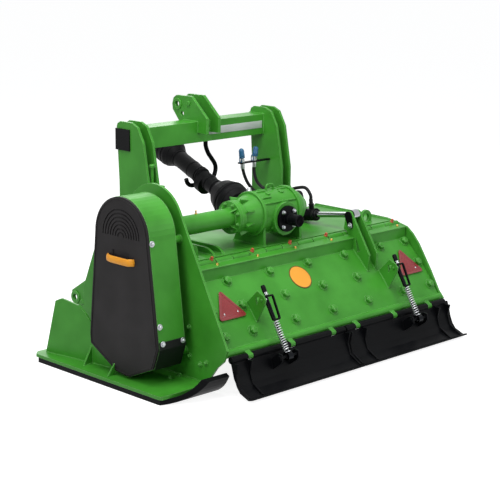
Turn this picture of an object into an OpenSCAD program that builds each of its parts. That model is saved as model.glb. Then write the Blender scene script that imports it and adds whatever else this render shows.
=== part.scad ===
// Tractor stone crusher: a three-point machine that mills stones with a toothed rotor.
// X is the machine's right seen from behind, Y is forward, Z is up from the ground.
// Machine lengths are measured from the rotor's middle; home() then shifts the origin
// to the middle of the ground area that the machine covers.

/* [Frame] */
// Clear width between the side plates
inner_w = 1600; // [1400:10:1800]
// Thickness of the side plates
side_t = 12; // [8:1:16]
// Height of the housing's flat top above the ground
deck_z = 560; // [540:1:580]
// Thickness of the housing's top and front plates
deck_t = 12; // [8:1:16]
// Front end of the housing's flat top
deck_front_y = 330; // [300:5:360]

/* [Rotor] */
// Distance of the rotor axis behind the machine's zero line
rotor_back = 160; // [150:1:170]
// Height of the rotor axis
rotor_z = 275; // [265:1:290]
// Radius of the rotor tube
drum_r = 150; // [130:1:160]
// Radius swept by the tooth tips
tip_r = 240; // [225:1:248]
// Number of tooth holders along the rotor
tooth_n = 36; // [24:2:40]

/* [Hood] */
// Height of the hood's hinge axis
hinge_z = 545; // [540:1:555]
// Distance of the hood's hinge axis behind the zero line
hinge_back = 280; // [275:1:290]
// Radius of the hood's long curve
hood_r = 1500; // [1200:10:2000]
// Thickness of the hood plate
hood_t = 10; // [8:1:14]
// Height of the hood's lower edge
hood_edge_z = 196; // [190:1:205]
// Distance of the hood's lower edge behind the zero line
hood_edge_back = 592; // [585:1:600]

/* [Skirts] */
// Height of the skirts' hinge axis
skirt_hinge_z = 172; // [168:1:176]
// Distance of the skirts' hinge axis behind the zero line
skirt_hinge_back = 622; // [618:1:626]
// Plate thickness of the skirts
skirt_t = 8; // [6:1:10]
// Gap between the two skirts
skirt_gap = 10; // [6:1:20]

/* [Skids] */
// Width of the left skid shelf outside the side plate
shelf_w = 298; // [260:1:320]
// Thickness of the wear sole
sole_t = 24; // [16:1:30]
// Thickness of the skid shelf
shelf_t = 16; // [10:1:20]
// Radius of the turned-up rear of the skids
ski_r = 160; // [150:1:180]
// Width of the right wear sole
sole_w = 80; // [60:1:100]

/* [Hitch] */
// Distance between the middles of the two hitch towers
tower_span = 962; // [940:2:980]
// Outer width of one tower
tower_w = 76; // [70:1:84]
// Thickness of a tower plate
tower_t = 14; // [10:1:16]
// Radius of the lower link pins, category 3
link_pin_r = 18.25; // [18:0.05:18.4]
// Side of the square cross beam
beam_s = 110; // [100:1:120]
// Height of the cross beam's middle
beam_z = 1055; // [1040:1:1070]
// Radius of the top link holes, category 3
top_hole_r = 16; // [15.9:0.1:16.2]
// Clear width between the two top link plates
top_gap = 70; // [60:1:80]

/* [Drive] */
// Height of the cross shaft axis
drive_z = 716; // [710:1:722]
// Distance of the cross shaft axis behind the zero line
drive_back = 154; // [150:1:158]
// Depth of the drive casing along X
casing_w = 220; // [180:2:240]
// Radius of the casing's rounded top
casing_r = 189; // [180:1:195]
// Outer radius of the cross shaft tube
tube_r = 48; // [40:1:55]
// Height of the gearbox's input axis
input_z = 690; // [685:1:696]
// Slope of the drive shaft in its rest, in degrees
shaft_tilt = 18; // [16:0.5:19]

/* [Hidden] */
$fn = 48;

green = "limegreen";
black = "dimgray";
steel = "silver";

// Room between pieces that move, and the play of a pin in its bore
run_gap = 5;
pin_play = 0.05;
seat_gap = 0.3;

// Outer faces along X
side_x = inner_w / 2;
left_x = -side_x - side_t;
right_x = side_x + side_t;
shelf_x = left_x - shelf_w;
casing_gap = 60;
casing_in = left_x - casing_gap;
skirt_end_x = side_x + 20;
bearing_out = 48;
skirt_lip_y = -770;
ear_y = 910;
mid_x = (shelf_x + right_x + bearing_out) / 2;
mid_y = (ear_y + skirt_lip_y) / 2;

// The hood's cylinder lies just inside the right tower
cyl_off = 38;
cyl_x = tower_span / 2 - tower_w / 2 - cyl_off;

rotor_y = -rotor_back;
hinge_y = -hinge_back;
drive_y = -drive_back;
journal_r = 40;
bearing_r = 70;

// Drive shaft: its joint at the gearbox, and the radii of its telescoping guards
joint_y = 50;
shaft_yaw = 8;
tube_in_r = 43;
sleeve_r = 46;

module home() {
    translate([-mid_x, -mid_y, 0])
        children();
}

// Outline in the Y-Z plane made into a plate from x0 to x1
module across(x0, x1) {
    translate([x0, 0, 0])
        rotate([90, 0, 90])
            linear_extrude(x1 - x0)
                children();
}

// Round bar along X
module bar_x(x0, x1, y, z, r) {
    translate([x0, y, z])
        rotate([0, 90, 0])
            cylinder(h = x1 - x0, r = r);
}

// Round bar along Y
module bar_y(y0, y1, x, z, r) {
    translate([x, y0, z])
        rotate([-90, 0, 0])
            cylinder(h = y1 - y0, r = r);
}

// Points of an arc: middle, radius, from angle a0 to a1 in n steps
function arc(c, r, a0, a1, n) =
    [for (i = [0:n]) let (a = a0 + (a1 - a0) * i / n) [c[0] + r * cos(a), c[1] + r * sin(a)]];
function backward(p) = [for (i = [len(p) - 1:-1:0]) p[i]];

// Middle of an arc of radius r through p and q, on the right of the way from p to q
function arc_mid(p, q, r) =
    let (d = q - p, l = norm(d), h = sqrt(r * r - l * l / 4))
    (p + q) / 2 + h * [d[1], -d[0]] / l;
function angle_at(c, p) = atan2(p[1] - c[1], p[0] - c[0]);
function unit(v) = v / norm(v);

// Anticlockwise outline with each side moved inwards by d
function inward(v) = [-v[1], v[0]] / norm(v);
function inset(p, d) =
    let (k = len(p))
    [for (i = [0:k - 1])
        let (m = inward(p[i] - p[(i + k - 1) % k]), n = inward(p[(i + 1) % k] - p[i]))
        p[i] + d * (m + n) / (1 + m * n)];

// The skids' side line: flat, then turned up behind; d is the height above the ground face
ski_y = -480;
ski_sweep = 62;
ski_tail = 22;
sole_front_y = 418;
shelf_front_y = 466;
function ski_line(d, front) =
    let (a = 270 - ski_sweep, r = ski_r - d, e = [ski_y + r * cos(a), ski_r + r * sin(a)])
    concat([[front, d]], arc([ski_y, ski_r], r, 270, a, 8),
        [e + ski_tail * [-cos(ski_sweep), sin(ski_sweep)]]);

module ski_strip(d0, d1, front) {
    polygon(concat(ski_line(d0, front), backward(ski_line(d1, front))));
}

// Side plates: round top behind the drive, straight slope down the hood's side
side_top = [-120, 735];
side_r = 203;
side_corner = [-627, 222];
side_front = [[430, 330], [330, 560], [150, 640]];

module side_outline() {
    difference() {
        polygon(concat([[430, sole_t]], side_front, arc(side_top, side_r, 0, 151, 16),
            [side_corner, [-604, 165], [-560, 128], [-480, sole_t]]));
        polygon(concat([[500, -1]], ski_line(sole_t, 500), [[-700, -1]]));
    }
}

module side_plate_left() {
    home()
        color(green)
            difference() {
                across(left_x, -side_x) side_outline();
                bar_x(left_x - 1, 1 - side_x, rotor_y, rotor_z, bearing_r + seat_gap);
                bar_x(left_x - 1, 1 - side_x, drive_y, drive_z, tube_r + seat_gap);
            }
}

// The right plate has no drive beside it and ends low
module side_plate_right() {
    home()
        color(green)
            difference() {
                across(side_x, right_x)
                    difference() {
                        polygon([[430, sole_t], [430, 330], [330, deck_z + 10], [-37, deck_z + 10],
                            [-204, deck_z + 7], [-290, 552], [-347, 539], [-390, 507], [-434, 458],
                            [-522, 324], [-581, 223], [-612, 190], [-604, 160], [-560, 128],
                            [-480, sole_t]]);
                        polygon(concat([[500, -1]], ski_line(sole_t, 500), [[-700, -1]]));
                    }
                bar_x(side_x - 1, right_x + 1, rotor_y, rotor_z, bearing_r + seat_gap);
            }
}

// Housing: flat top, front wall and the fixed knuckles of the hood's hinge
deck_rear_y = hinge_y + 34;
front_low_z = 240;
knuckle_r = 19;
hinge_pin_r = 11;
knuckle_n = 7;
knuckle_pitch = inner_w / knuckle_n;
knuckle_gap = 3;

module housing_outline() {
    polygon([[deck_rear_y, deck_z], [deck_front_y, deck_z], [deck_front_y + 70, front_low_z + 60],
        [deck_front_y + 70, front_low_z], [deck_front_y + 70 - deck_t, front_low_z],
        [deck_front_y + 70 - deck_t, front_low_z + 58], [deck_front_y - 9, deck_z - deck_t],
        [deck_rear_y, deck_z - deck_t]]);
}

// Knuckle with the tongue that joins it to its plate, from y0 to y1 and t thick
module knuckle(x0, x1, y0, y1, t) {
    difference() {
        union() {
            bar_x(x0, x1, hinge_y, hinge_z, knuckle_r);
            translate([x0, y0, hinge_z - 6])
                cube([x1 - x0, y1 - y0, t]);
        }
        bar_x(x0 - 1, x1 + 1, hinge_y, hinge_z, hinge_pin_r + pin_play);
    }
}

module housing_shell() {
    home()
        color(green) {
            across(-side_x, side_x) housing_outline();
            for (i = [0:knuckle_n - 1])
                knuckle(-side_x + (i + 0.5) * knuckle_pitch + knuckle_gap,
                    -side_x + (i + 1) * knuckle_pitch - knuckle_gap,
                    hinge_y, deck_rear_y + 4, deck_t);
        }
}

module hood_hinge_pin() {
    home()
        color(steel)
            bar_x(-side_x, side_x, hinge_y, hinge_z, hinge_pin_r);
}

// Counter beam hung under the deck, with teeth close to the rotor that break the stones
anvil_gap = 18;
anvil_y = rotor_y + tip_r + anvil_gap;
anvil_z = rotor_z + 45;
anvil_tooth = 50;
module anvil_bar() {
    under = deck_z - deck_t;
    home()
        color(steel)
            difference() {
                across(-side_x, side_x)
                    polygon([[anvil_y + 150, under], [anvil_y + 100, under], [anvil_y, anvil_z + 60],
                        [anvil_y, anvil_z], [anvil_y + 40, anvil_z - 6], [anvil_y + 150, under - 110]]);
                for (x = [-side_x + anvil_tooth:2 * anvil_tooth:side_x - anvil_tooth])
                    translate([x, anvil_y - 1, anvil_z - 7])
                        cube([anvil_tooth, 19, 62]);
            }
}

module skid_shelf() {
    home()
        color(green)
            intersection() {
                across(shelf_x, left_x) ski_strip(sole_t, sole_t + shelf_t, shelf_front_y);
                linear_extrude(400)
                    polygon([[shelf_x, -516], [shelf_x, shelf_front_y - 30],
                        [shelf_x + 30, shelf_front_y], [left_x, shelf_front_y], [left_x, -566]]);
            }
}

// Bent plate that keeps stones off the casing, with a gusset on its outer side
guard_t = 10;
guard_y = 436;
guard_turn = 9;
module skid_guard() {
    foot = shelf_t + sole_t;
    home()
        color(green)
            translate([shelf_x + 60, guard_y, 0])
                rotate([0, 0, guard_turn])
                    translate([0, -guard_y, 0]) {
                        across(-guard_t / 2, guard_t / 2)
                            polygon([[430, foot], [358, 316], [317, 334], [206, 317], [162, 285],
                                [120, 240], [112, 190], [-30, foot]]);
                        translate([0, 128, 0])
                            rotate([90, 0, 0])
                                linear_extrude(guard_t)
                                    polygon([[-64, foot], [0, foot], [0, foot + 95]]);
                    }
}

module sole(x0, x1) {
    color(black)
        across(x0, x1)
            ski_strip(0, sole_t, sole_front_y);
}

module sole_left() {
    home()
        intersection() {
            sole(shelf_x, -side_x);
            linear_extrude(400)
                polygon([[shelf_x, -500], [shelf_x, 500], [-side_x, 500], [-side_x, -700],
                    [left_x - 20, -700]]);
        }
}

module sole_right() {
    home()
        sole(right_x - sole_w, right_x);
}

// Drive casing: a rounded top over the cross shaft and a faceted foot round the rotor.
// It stands off the side plate on four posts.
casing_top = [-154, 718];
casing_foot = [[-408, 225], [-373, 127], [-201, 52], [-111, 60], [81, 160], [85, 210]];
casing_x = left_x - casing_w;
casing_t = 8;
cover_t = 12;
post_r = 18;
post_at = [[-300, 700], [-10, 700], [-340, 170], [40, 190]];

casing_points = concat(arc(casing_top, casing_r, 0, 180, 24), casing_foot);

module casing_outline() {
    polygon(casing_points);
}

module drive_casing() {
    home()
        color(green) {
            difference() {
                across(casing_x, casing_in) casing_outline();
                across(casing_x - 1, casing_in - casing_t)
                    polygon(inset(casing_points, casing_t));
                bar_x(casing_x, 1, drive_y, drive_z, tube_r + seat_gap);
                bar_x(casing_x, 1, rotor_y, rotor_z, journal_r + run_gap);
            }
            for (q = post_at)
                bar_x(casing_in - 2, left_x, q[0], q[1], post_r);
        }
}

// Cover plate with arched vents round the top pulley, and a bail handle before a hand hole
handle_y = -154;
hole_z = 606;
hole_w = 120;
hole_h = 46;
vent_pitch = 18;
vent_n = 7;
vent_w = 7;
vent_deep = 5;
module casing_cover() {
    home()
        color("darkslategray")
            difference() {
                across(casing_x - cover_t, casing_x) casing_outline();
                across(casing_x - cover_t - 1, casing_x + 1)
                    translate([handle_y - hole_w / 2, hole_z])
                        square([hole_w, hole_h]);
                for (i = [1:vent_n])
                    intersection() {
                        difference() {
                            bar_x(casing_x - cover_t - 1, casing_x - cover_t + vent_deep,
                                casing_top[0], casing_top[1], i * vent_pitch + vent_w);
                            bar_x(casing_x - cover_t - 2, casing_x - cover_t + vent_deep + 1,
                                casing_top[0], casing_top[1], i * vent_pitch);
                        }
                        translate([casing_x - cover_t - 2, casing_top[0] - casing_r, casing_top[1]])
                            cube([vent_deep + 4, 2 * casing_r, casing_r]);
                    }
            }
}

handle_t = 22;
grip_w = 130;
module cover_handle() {
    out = casing_x - cover_t;
    home()
        color("orange")
            difference() {
                across(out - handle_t, out)
                    polygon([[-241, 599], [-198, 592], [-154, 590], [-112, 591], [-74, 595], [-60, 631],
                        [-108, 628], [-154, 627], [-205, 630], [-257, 637]]);
                translate([out - 8, handle_y - grip_w / 2, hole_z - 30])
                    cube([9, grip_w, 90]);
            }
}

// Bolted plate that closes the rear corner of the casing's foot
panel_t = 4;
panel_top = 34;
module service_panel() {
    rear = [casing_foot[0] - panel_top * unit(casing_foot[0] - [casing_top[0] - casing_r, casing_top[1]]),
        casing_foot[0], casing_foot[1] + 8 * unit(casing_foot[0] - casing_foot[1])];
    far = inset(concat(rear, [casing_top]), -seat_gap);
    out = inset(concat(rear, [casing_top]), -seat_gap - panel_t);
    home()
        color(black)
            across(casing_x, casing_in)
                polygon([far[0], out[0], out[1], out[2], far[2], far[1]]);
}

// Hitch towers: two plates each, with a lower ear ahead; the left foot runs back to the hinge
ear_hole = [872, 144];
foot_mid = [-150, 492];
foot_r = 100;
foot_end = 180 - asin((deck_z - foot_mid[1]) / foot_r);
tower_top = [[300, 1050], [345, 1128], [390, 1147], [478, 1147], [500, 1135], [506, 1118]];
tower_front = [[489, 841], [485, 443], [905, 178], [ear_y, 130], [849, 49], [640, 60],
    [445, 260], [deck_front_y + 70, front_low_z + 60], [deck_front_y, deck_z]];
tower_foot = concat(backward(arc(foot_mid, foot_r, 90, foot_end, 8)),
    [[100, foot_mid[1] + foot_r], [258, 700], [258, 826]]);
tower_heel = [[92, deck_z], [109, 594], [225, 673], [258, 720], [258, 826]];

module tower(x0, rear) {
    color(green)
        for (x = [x0 - tower_w / 2, x0 + tower_w / 2 - tower_t])
            difference() {
                across(x, x + tower_t)
                    difference() {
                        polygon(concat(tower_top, tower_front, rear));
                        translate([beam_y - beam_s / 2 - seat_gap, beam_z - beam_s / 2 - seat_gap])
                            square(beam_s + 2 * seat_gap);
                    }
                bar_x(x - 1, x + tower_t + 1, ear_hole[0], ear_hole[1], link_pin_r);
            }
}

module tower_left() {
    home()
        tower(-tower_span / 2, tower_foot);
}

module tower_right() {
    home()
        tower(tower_span / 2, tower_heel);
}

beam_y = 455;
beam_wall = 8;
beam_half = tower_span / 2 + tower_w / 2;
module cross_beam() {
    home()
        color(green)
            difference() {
                across(-beam_half, beam_half)
                    translate([beam_y - beam_s / 2, beam_z - beam_s / 2])
                        square(beam_s);
                across(-beam_half - 1, beam_half + 1)
                    translate([beam_y - beam_s / 2 + beam_wall, beam_z - beam_s / 2 + beam_wall])
                        square(beam_s - 2 * beam_wall);
            }
}

// Moulded plugs in the beam's open ends
cap_t = 6;
module beam_caps() {
    inner = beam_s - 2 * beam_wall - 2 * seat_gap;
    home()
        color(black)
            for (s = [-1, 1]) {
                across(s > 0 ? beam_half + seat_gap : -beam_half - seat_gap - cap_t,
                    s > 0 ? beam_half + seat_gap + cap_t : -beam_half - seat_gap)
                    translate([beam_y - beam_s / 2, beam_z - beam_s / 2])
                        square(beam_s);
                across(s > 0 ? beam_half - 25 : -beam_half - seat_gap - cap_t / 2,
                    s > 0 ? beam_half + seat_gap + cap_t / 2 : -beam_half + 25)
                    translate([beam_y - inner / 2, beam_z - inner / 2])
                        square(inner);
            }
}

top_t = 16;
top_hole = [560, 1192];
spare_hole = [524, 1143];
spare_r = 12.5;
module top_link_bracket() {
    home()
        color(green)
            for (x = [-top_gap / 2 - top_t, top_gap / 2])
                difference() {
                    across(x, x + top_t)
                        polygon([[600, 1160], [604, 1190], [594, 1222], [570, 1238], [452, 1240],
                            [332, 1132], [332, 1050], [400, 1050], [400, 1110], [510, 1110],
                            [548, 1099]]);
                    bar_x(x - 1, x + top_t + 1, top_hole[0], top_hole[1], top_hole_r);
                    bar_x(x - 1, x + top_t + 1, spare_hole[0], spare_hole[1], spare_r);
                }
}

// Bevel gearbox: input along Y, output to the left along X
input_x = -60;
neck_x = -330;
neck_r = 83;
ball_r = 17;
module gear_housing(play) {
    bar_x(-210, 60, drive_y, drive_z, 105 + play);
    bar_y(-270, 10, input_x, input_z, 84 + play);
    translate([-210, drive_y, drive_z])
        rotate([0, -90, 0])
            cylinder(h = 100, r1 = 100 + play, r2 = 70 + play);
    translate([60, drive_y, drive_z])
        sphere(r = 98 + play);
}

module gearbox() {
    home()
        color(green) {
            gear_housing(0);
            bar_y(10, joint_y - 12, input_x, input_z, 24);
            translate([input_x, joint_y, input_z])
                sphere(r = ball_r);
            bar_x(neck_x, neck_x + 22, drive_y, drive_z, neck_r);
        }
}

module gearbox_cap() {
    home()
        color(black) {
            bar_y(-284, -270, input_x, input_z, 66);
            bar_y(-364, -284, input_x, input_z, 29);
        }
}

module gearbox_feet() {
    home()
        color(green)
            difference() {
                for (x = [-190, 70])
                    across(x, x + 16)
                        polygon([[deck_rear_y + 6, deck_z], [-20, deck_z], [-60, 650], [-236, 650]]);
                gear_housing(seat_gap);
            }
}

module cross_tube() {
    home()
        color(green) {
            bar_x(casing_in - casing_t, neck_x, drive_y, drive_z, tube_r);
            bar_x(neck_x - 20, neck_x, drive_y, drive_z, neck_r);
        }
}

bearing_in = 10;
module rotor_bearing() {
    home()
        color(green)
            for (x = [[left_x - bearing_out, -side_x + bearing_in],
                    [side_x - bearing_in, right_x + bearing_out]])
                difference() {
                    bar_x(x[0], x[1], rotor_y, rotor_z, bearing_r);
                    bar_x(x[0] - 1, x[1] + 1, rotor_y, rotor_z, journal_r + pin_play);
                }
}

eye_at = [[-640, -190], [640, -190]];
eye_plate_r = 42;
module lifting_eyes() {
    home()
        color(green)
            for (e = eye_at)
                translate([e[0], e[1], 0])
                    difference() {
                        union() {
                            bar_y(-8, 8, 0, deck_z + 28, eye_plate_r);
                            translate([-eye_plate_r, -8, deck_z])
                                cube([2 * eye_plate_r, 16, 28]);
                        }
                        bar_y(-9, 9, 0, deck_z + 28, 23);
                        translate([-100, -20, deck_z - 60])
                            cube([200, 40, 60]);
                    }
}

// Lowest stretch of the hook, just under the sleeve that lies on it
hook_y = 455;
hook_r = 12;
cradle_gap = 1.2;
hook_z = input_z + (hook_y - joint_y) * tan(shaft_tilt) / cos(shaft_yaw)
    - (sleeve_r + hook_r + cradle_gap) / cos(shaft_tilt);
module shaft_hook() {
    home()
        color(black)
            tube([[56, hook_y, beam_z - beam_s / 2 - seat_gap], [57, hook_y, 965], [74, hook_y, 925],
                [100, hook_y, 892], [124, hook_y, 860], [130, hook_y, 830], [118, hook_y, 795],
                [88, hook_y, 765], [50, hook_y, hook_z], [0, hook_y, hook_z], [-50, hook_y, hook_z],
                [-75, hook_y, 775], [-86, hook_y, 800]], hook_r, 8, [0, 1, 0]);
}

// Sweep of a round section with k sides along a list of points; ref is a direction
// that no stretch of the route follows
function tangent(p, i) = unit(p[min(i + 1, len(p) - 1)] - p[max(i - 1, 0)]);
function ring(p, i, r, k, ref) =
    let (t = tangent(p, i), u = unit(cross(t, ref)), v = cross(t, u))
    [for (j = [0:k - 1]) let (a = 360 * (j + 0.5) / k) p[i] + r * (cos(a) * u + sin(a) * v)];

module tube(p, r, k, ref) {
    n = len(p);
    polyhedron(
        points = [for (i = [0:n - 1]) each ring(p, i, r, k, ref)],
        faces = concat([[for (j = [0:k - 1]) j]],
            [for (i = [0:n - 2]) for (j = [0:k - 1])
                [i * k + j, (i + 1) * k + j, (i + 1) * k + (j + 1) % k, i * k + (j + 1) % k]],
            [[for (j = [k - 1:-1:0]) (n - 1) * k + j]]));
}

rack_z = 860;
rack_t = 8;
coupler_x = [240, 330];
coupler_y = 357;
module coupler_rack() {
    home()
        color(black)
            difference() {
                translate([215, coupler_y - 12, rack_z])
                    cube([tower_span / 2 - tower_w / 2 - 215, 24, rack_t]);
                for (x = coupler_x)
                    translate([x, coupler_y, rack_z - 1])
                        cylinder(h = rack_t + 2, r = 8);
            }
}

module couplers() {
    home()
        color("steelblue")
            for (x = coupler_x)
                translate([x, coupler_y, rack_z + rack_t])
                    cylinder(h = 80, r = 13);
}

// Hoses from the couplers, behind the gearbox and up over the cylinder's two ports;
// f is the share of the way from the coupler across to the cylinder
hose_r = 9;
hose_z = rack_z - seat_gap;
function way(x, f) = x + f * (cyl_x - x);
module hose_left() {
    x = coupler_x[0];
    home()
        color(black)
            tube([[x, coupler_y, hose_z], [x, coupler_y, 825], [way(x, 0.05), 352, 785],
                [way(x, 0.17), 340, 748], [way(x, 0.36), 312, 718], [way(x, 0.54), 262, 704],
                [way(x, 0.71), 205, 702], [way(x, 0.85), 150, 712], [way(x, 0.95), 105, 722],
                [way(x, 0.99), 74, 720], port_at(port_s[0], 38), port_at(port_s[0], 14),
                port_at(port_s[0], -hose_in)], hose_r, 8, [1, 1, 0]);
}

module hose_right() {
    x = coupler_x[1];
    home()
        color(black)
            tube([[x, coupler_y, hose_z], [x, coupler_y, 820], [way(x, 0.01), 350, 785],
                [way(x, 0.1), 332, 755], [way(x, 0.3), 298, 740], [way(x, 0.52), 240, 738],
                [way(x, 0.72), 165, 746], [way(x, 0.9), 90, 756], [way(x, 0.98), 34, 750],
                port_at(port_s[1], 50), port_at(port_s[1], 20), port_at(port_s[1], -hose_in)],
                hose_r, 8, [1, 1, 0]);
}

// Hood: flat flange behind the hinge, a step down, then a long curve to a rolled lower edge
hood_flange_y = hinge_y - 65;
hood_step_z = hinge_z - 66;
hood_top = [hood_flange_y, hood_step_z];
hood_low = [-hood_edge_back, hood_edge_z];
hood_mid = arc_mid(hood_low, hood_top, hood_r);
hood_gap = 6;
hood_half = side_x - hood_gap;
edge_r = 20;

// Point of the hood's curve at y, and the curve down from there; d is the height above it
function on_hood(y, d) = [y, hood_mid[1] + sqrt(pow(hood_r + d, 2) - pow(y - hood_mid[0], 2))];
function hood_arc(d, y0, y1, n) =
    arc(hood_mid, hood_r + d, angle_at(hood_mid, on_hood(y0, d)), angle_at(hood_mid, on_hood(y1, d)), n);

module hood_outline() {
    polygon(concat([[hinge_y - 23, hinge_z + 4], [hood_flange_y, hinge_z - 4]],
        hood_arc(0, hood_flange_y, hood_low[0], 8),
        backward(hood_arc(-hood_t, hood_flange_y + hood_t, hood_low[0] + hood_t, 8)),
        [[hood_flange_y + hood_t, hinge_z - 12], [hinge_y - 23, hinge_z - 6]]));
}

module hood_shell() {
    home()
        color(green) {
            across(-hood_half, hood_half) hood_outline();
            bar_x(-hood_half, hood_half, hood_low[0] + 4, hood_low[1] - 2, edge_r);
            for (i = [0:knuckle_n - 1])
                knuckle(-side_x + max(i * knuckle_pitch, hood_gap) + knuckle_gap,
                    -side_x + (i + 0.5) * knuckle_pitch - knuckle_gap,
                    hinge_y - 26, hinge_y, hood_t);
            for (s = skirt_lugs)
                skirt_lug(s);
        }
}

lug_mid = 90;
lug_at = side_x - 135;
skirt_lugs = [-lug_at, -lug_at * 4 / 7, -lug_mid, lug_mid, lug_at * 4 / 7, lug_at];
skirt_pin_r = 8;
lug_w = 30;
skirt_y = -skirt_hinge_back;
module skirt_lug(x) {
    difference() {
        union() {
            bar_x(x - lug_w / 2, x + lug_w / 2, skirt_y, skirt_hinge_z, 15);
            across(x - lug_w / 2, x + lug_w / 2)
                polygon([[skirt_y - 13, skirt_hinge_z + 8], [skirt_y + 13, skirt_hinge_z - 8],
                    hood_low + [12, -14], hood_low + [-6, 6]]);
        }
        bar_x(x - lug_w, x + lug_w, skirt_y, skirt_hinge_z, skirt_pin_r + pin_play);
    }
}

liner_t = 12;
module hood_liners() {
    home()
        color(steel)
            for (x = [-1.5, -0.5, 0.5, 1.5])
                across(x * 390 - 190, x * 390 + 190)
                    polygon(concat(
                        hood_arc(-hood_t - seat_gap, hood_flange_y - 15, hood_low[0] + 60, 4),
                        backward(hood_arc(-hood_t - seat_gap - liner_t, hood_flange_y - 10,
                            hood_low[0] + 65, 4))));
}

// Two arms welded to the hood, with the pin that takes the cylinder's rod
arm_t = 12;
arm_span = 62;
eye = [-310, 652];
eye_r = 15;
eye_boss_r = 24;
arm_clear = 30;
arm_low_y = -450;
arm_back = [-456, 464];
arm_x = [cyl_x - arm_span / 2, cyl_x + arm_span / 2];
module lift_arms() {
    home()
        color(green)
            for (x = arm_x)
                difference() {
                    across(x - arm_t / 2, x + arm_t / 2)
                        polygon(concat(arc(eye, eye_boss_r, -20, 142, 8), [arm_back],
                            backward(hood_arc(seat_gap, hood_flange_y - seat_gap, arm_low_y, 4)),
                            [[hood_flange_y - seat_gap, hinge_z - 4 + seat_gap]],
                            backward(arc([hinge_y, hinge_z], arm_clear, 85, 172, 4))));
                    bar_x(x - arm_t, x + arm_t, eye[0], eye[1], eye_r + pin_play);
                    across(x - arm_t, x + arm_t)
                        polygon([[-360, 546], [-376, 470], [-394, 472], [-376, 516]]);
                }
}

keeper_t = 8;
keeper_bolt = eye + [-17, -50];
keeper_turn = angle_at(eye, keeper_bolt);
module lift_pin() {
    near = arm_x[0] - arm_t / 2 - seat_gap;
    home()
        color(black) {
            bar_x(near - keeper_t, arm_x[1] + arm_t / 2 + 12, eye[0], eye[1], eye_r);
            difference() {
                across(near - keeper_t, near)
                    polygon(concat(arc(eye, eye_boss_r - 2, keeper_turn + 90, keeper_turn + 270, 8),
                        arc(keeper_bolt, 16, keeper_turn - 90, keeper_turn + 90, 8)));
                bar_x(near - keeper_t - 1, near + 1, keeper_bolt[0], keeper_bolt[1], 7);
            }
        }
}

// Bracket plates on the hood, each with the stub that the guide loop turns on
spring_x = [-480, 490];
guide_pin = [-556, 400];
guide_half = 22;
guide_wall = 8;
stub_r = 6;
bracket_off = 40;
bracket_t = 8;
module spring_brackets() {
    home()
        color(green)
            for (x = spring_x) {
                across(x - bracket_off, x - bracket_off + bracket_t)
                    difference() {
                        polygon(concat(hood_arc(seat_gap, -455, -525, 3),
                            [guide_pin + [-22, -16], guide_pin + [-26, 4], guide_pin + [-8, 24],
                                guide_pin + [30, 40]]));
                        polygon([guide_pin + [14, 12], guide_pin + [40, 8], guide_pin + [32, -30]]);
                    }
                bar_x(x - bracket_off - 6, x - guide_half + guide_wall - 1,
                    guide_pin[0], guide_pin[1], stub_r);
            }
}

// Hydraulic cylinder in line with the two arms, its front eye in a fork on the deck
anchor = [130, 588];
anchor_r = 12;
anchor_eye_r = 22;
barrel_r = 33;
barrel_s = [62, 180];
rod_r = 15;
rod_bore = 8;
rod_in = 24;
cyl_len = norm(eye - anchor);
cyl_rise = atan2(eye[1] - anchor[1], anchor[0] - eye[0]);
cyl_eye_w = 32;
eye_slack = 3.5;
port_s = [82, 146];
port_h = 24;
port_r = 14;
port_bore = 11.5;
port_deep = 18;
hose_in = 12;

// Axis frame of the cylinder: its X runs from the anchor to the rod's eye
module on_cylinder() {
    translate([cyl_x, anchor[0], anchor[1]])
        rotate([-cyl_rise, 0, 0])
            rotate([0, 0, -90])
                children();
}

// Round bar along the cylinder's axis, and an eye across it
module cyl_bar(s0, s1, r) {
    translate([s0, 0, 0])
        rotate([0, 90, 0])
            cylinder(h = s1 - s0, r = r);
}
module cyl_eye(s, w, r) {
    translate([s, 0, 0])
        rotate([90, 0, 0])
            cylinder(h = w, r = r, center = true);
}

// Point on a port's axis, up above the port's rim; the hose's end hangs free in the port
function port_at(s, up) =
    let (h = barrel_r + port_h + up)
    [cyl_x, anchor[0] - s * cos(cyl_rise) + h * sin(cyl_rise),
        anchor[1] + s * sin(cyl_rise) + h * cos(cyl_rise)];

fork_t = 12;
fork_gap = 1;
module lift_anchor() {
    half = cyl_eye_w / 2 + fork_gap;
    home()
        color(green) {
            bar_x(cyl_x - half - fork_t - 4, cyl_x + half + fork_t + 4, anchor[0], anchor[1], anchor_r);
            for (x = [cyl_x - half - fork_t, cyl_x + half])
                across(x, x + fork_t)
                    polygon(concat(arc(anchor, 26, 0, 180, 12),
                        [[anchor[0] - 30, deck_z], [anchor[0] + 56, deck_z]]));
        }
}

module lift_barrel() {
    home()
        color(black)
            on_cylinder()
                difference() {
                    union() {
                        cyl_eye(0, cyl_eye_w, anchor_eye_r);
                        translate([0, -cyl_eye_w / 2, -17])
                            cube([barrel_s[0] + 1, cyl_eye_w, 34]);
                        cyl_bar(barrel_s[0], barrel_s[1], barrel_r);
                        for (s = port_s)
                            translate([s, 0, 0])
                                cylinder(h = barrel_r + port_h, r = port_r);
                    }
                    for (s = port_s)
                        translate([s, 0, barrel_r + port_h - port_deep])
                            cylinder(h = port_deep + 1, r = port_bore);
                    cyl_eye(0, cyl_eye_w + 2, anchor_r + pin_play);
                    cyl_bar(rod_bore + barrel_s[0], barrel_s[1] + 1, rod_r + pin_play);
                }
}

module lift_rod() {
    home()
        color(steel)
            on_cylinder()
                difference() {
                    union() {
                        cyl_bar(barrel_s[1] - rod_in, cyl_len - 20, rod_r);
                        cyl_eye(cyl_len, arm_span - arm_t - 8, 28);
                    }
                    cyl_eye(cyl_len, arm_span, eye_r + eye_slack);
                }
}

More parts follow.
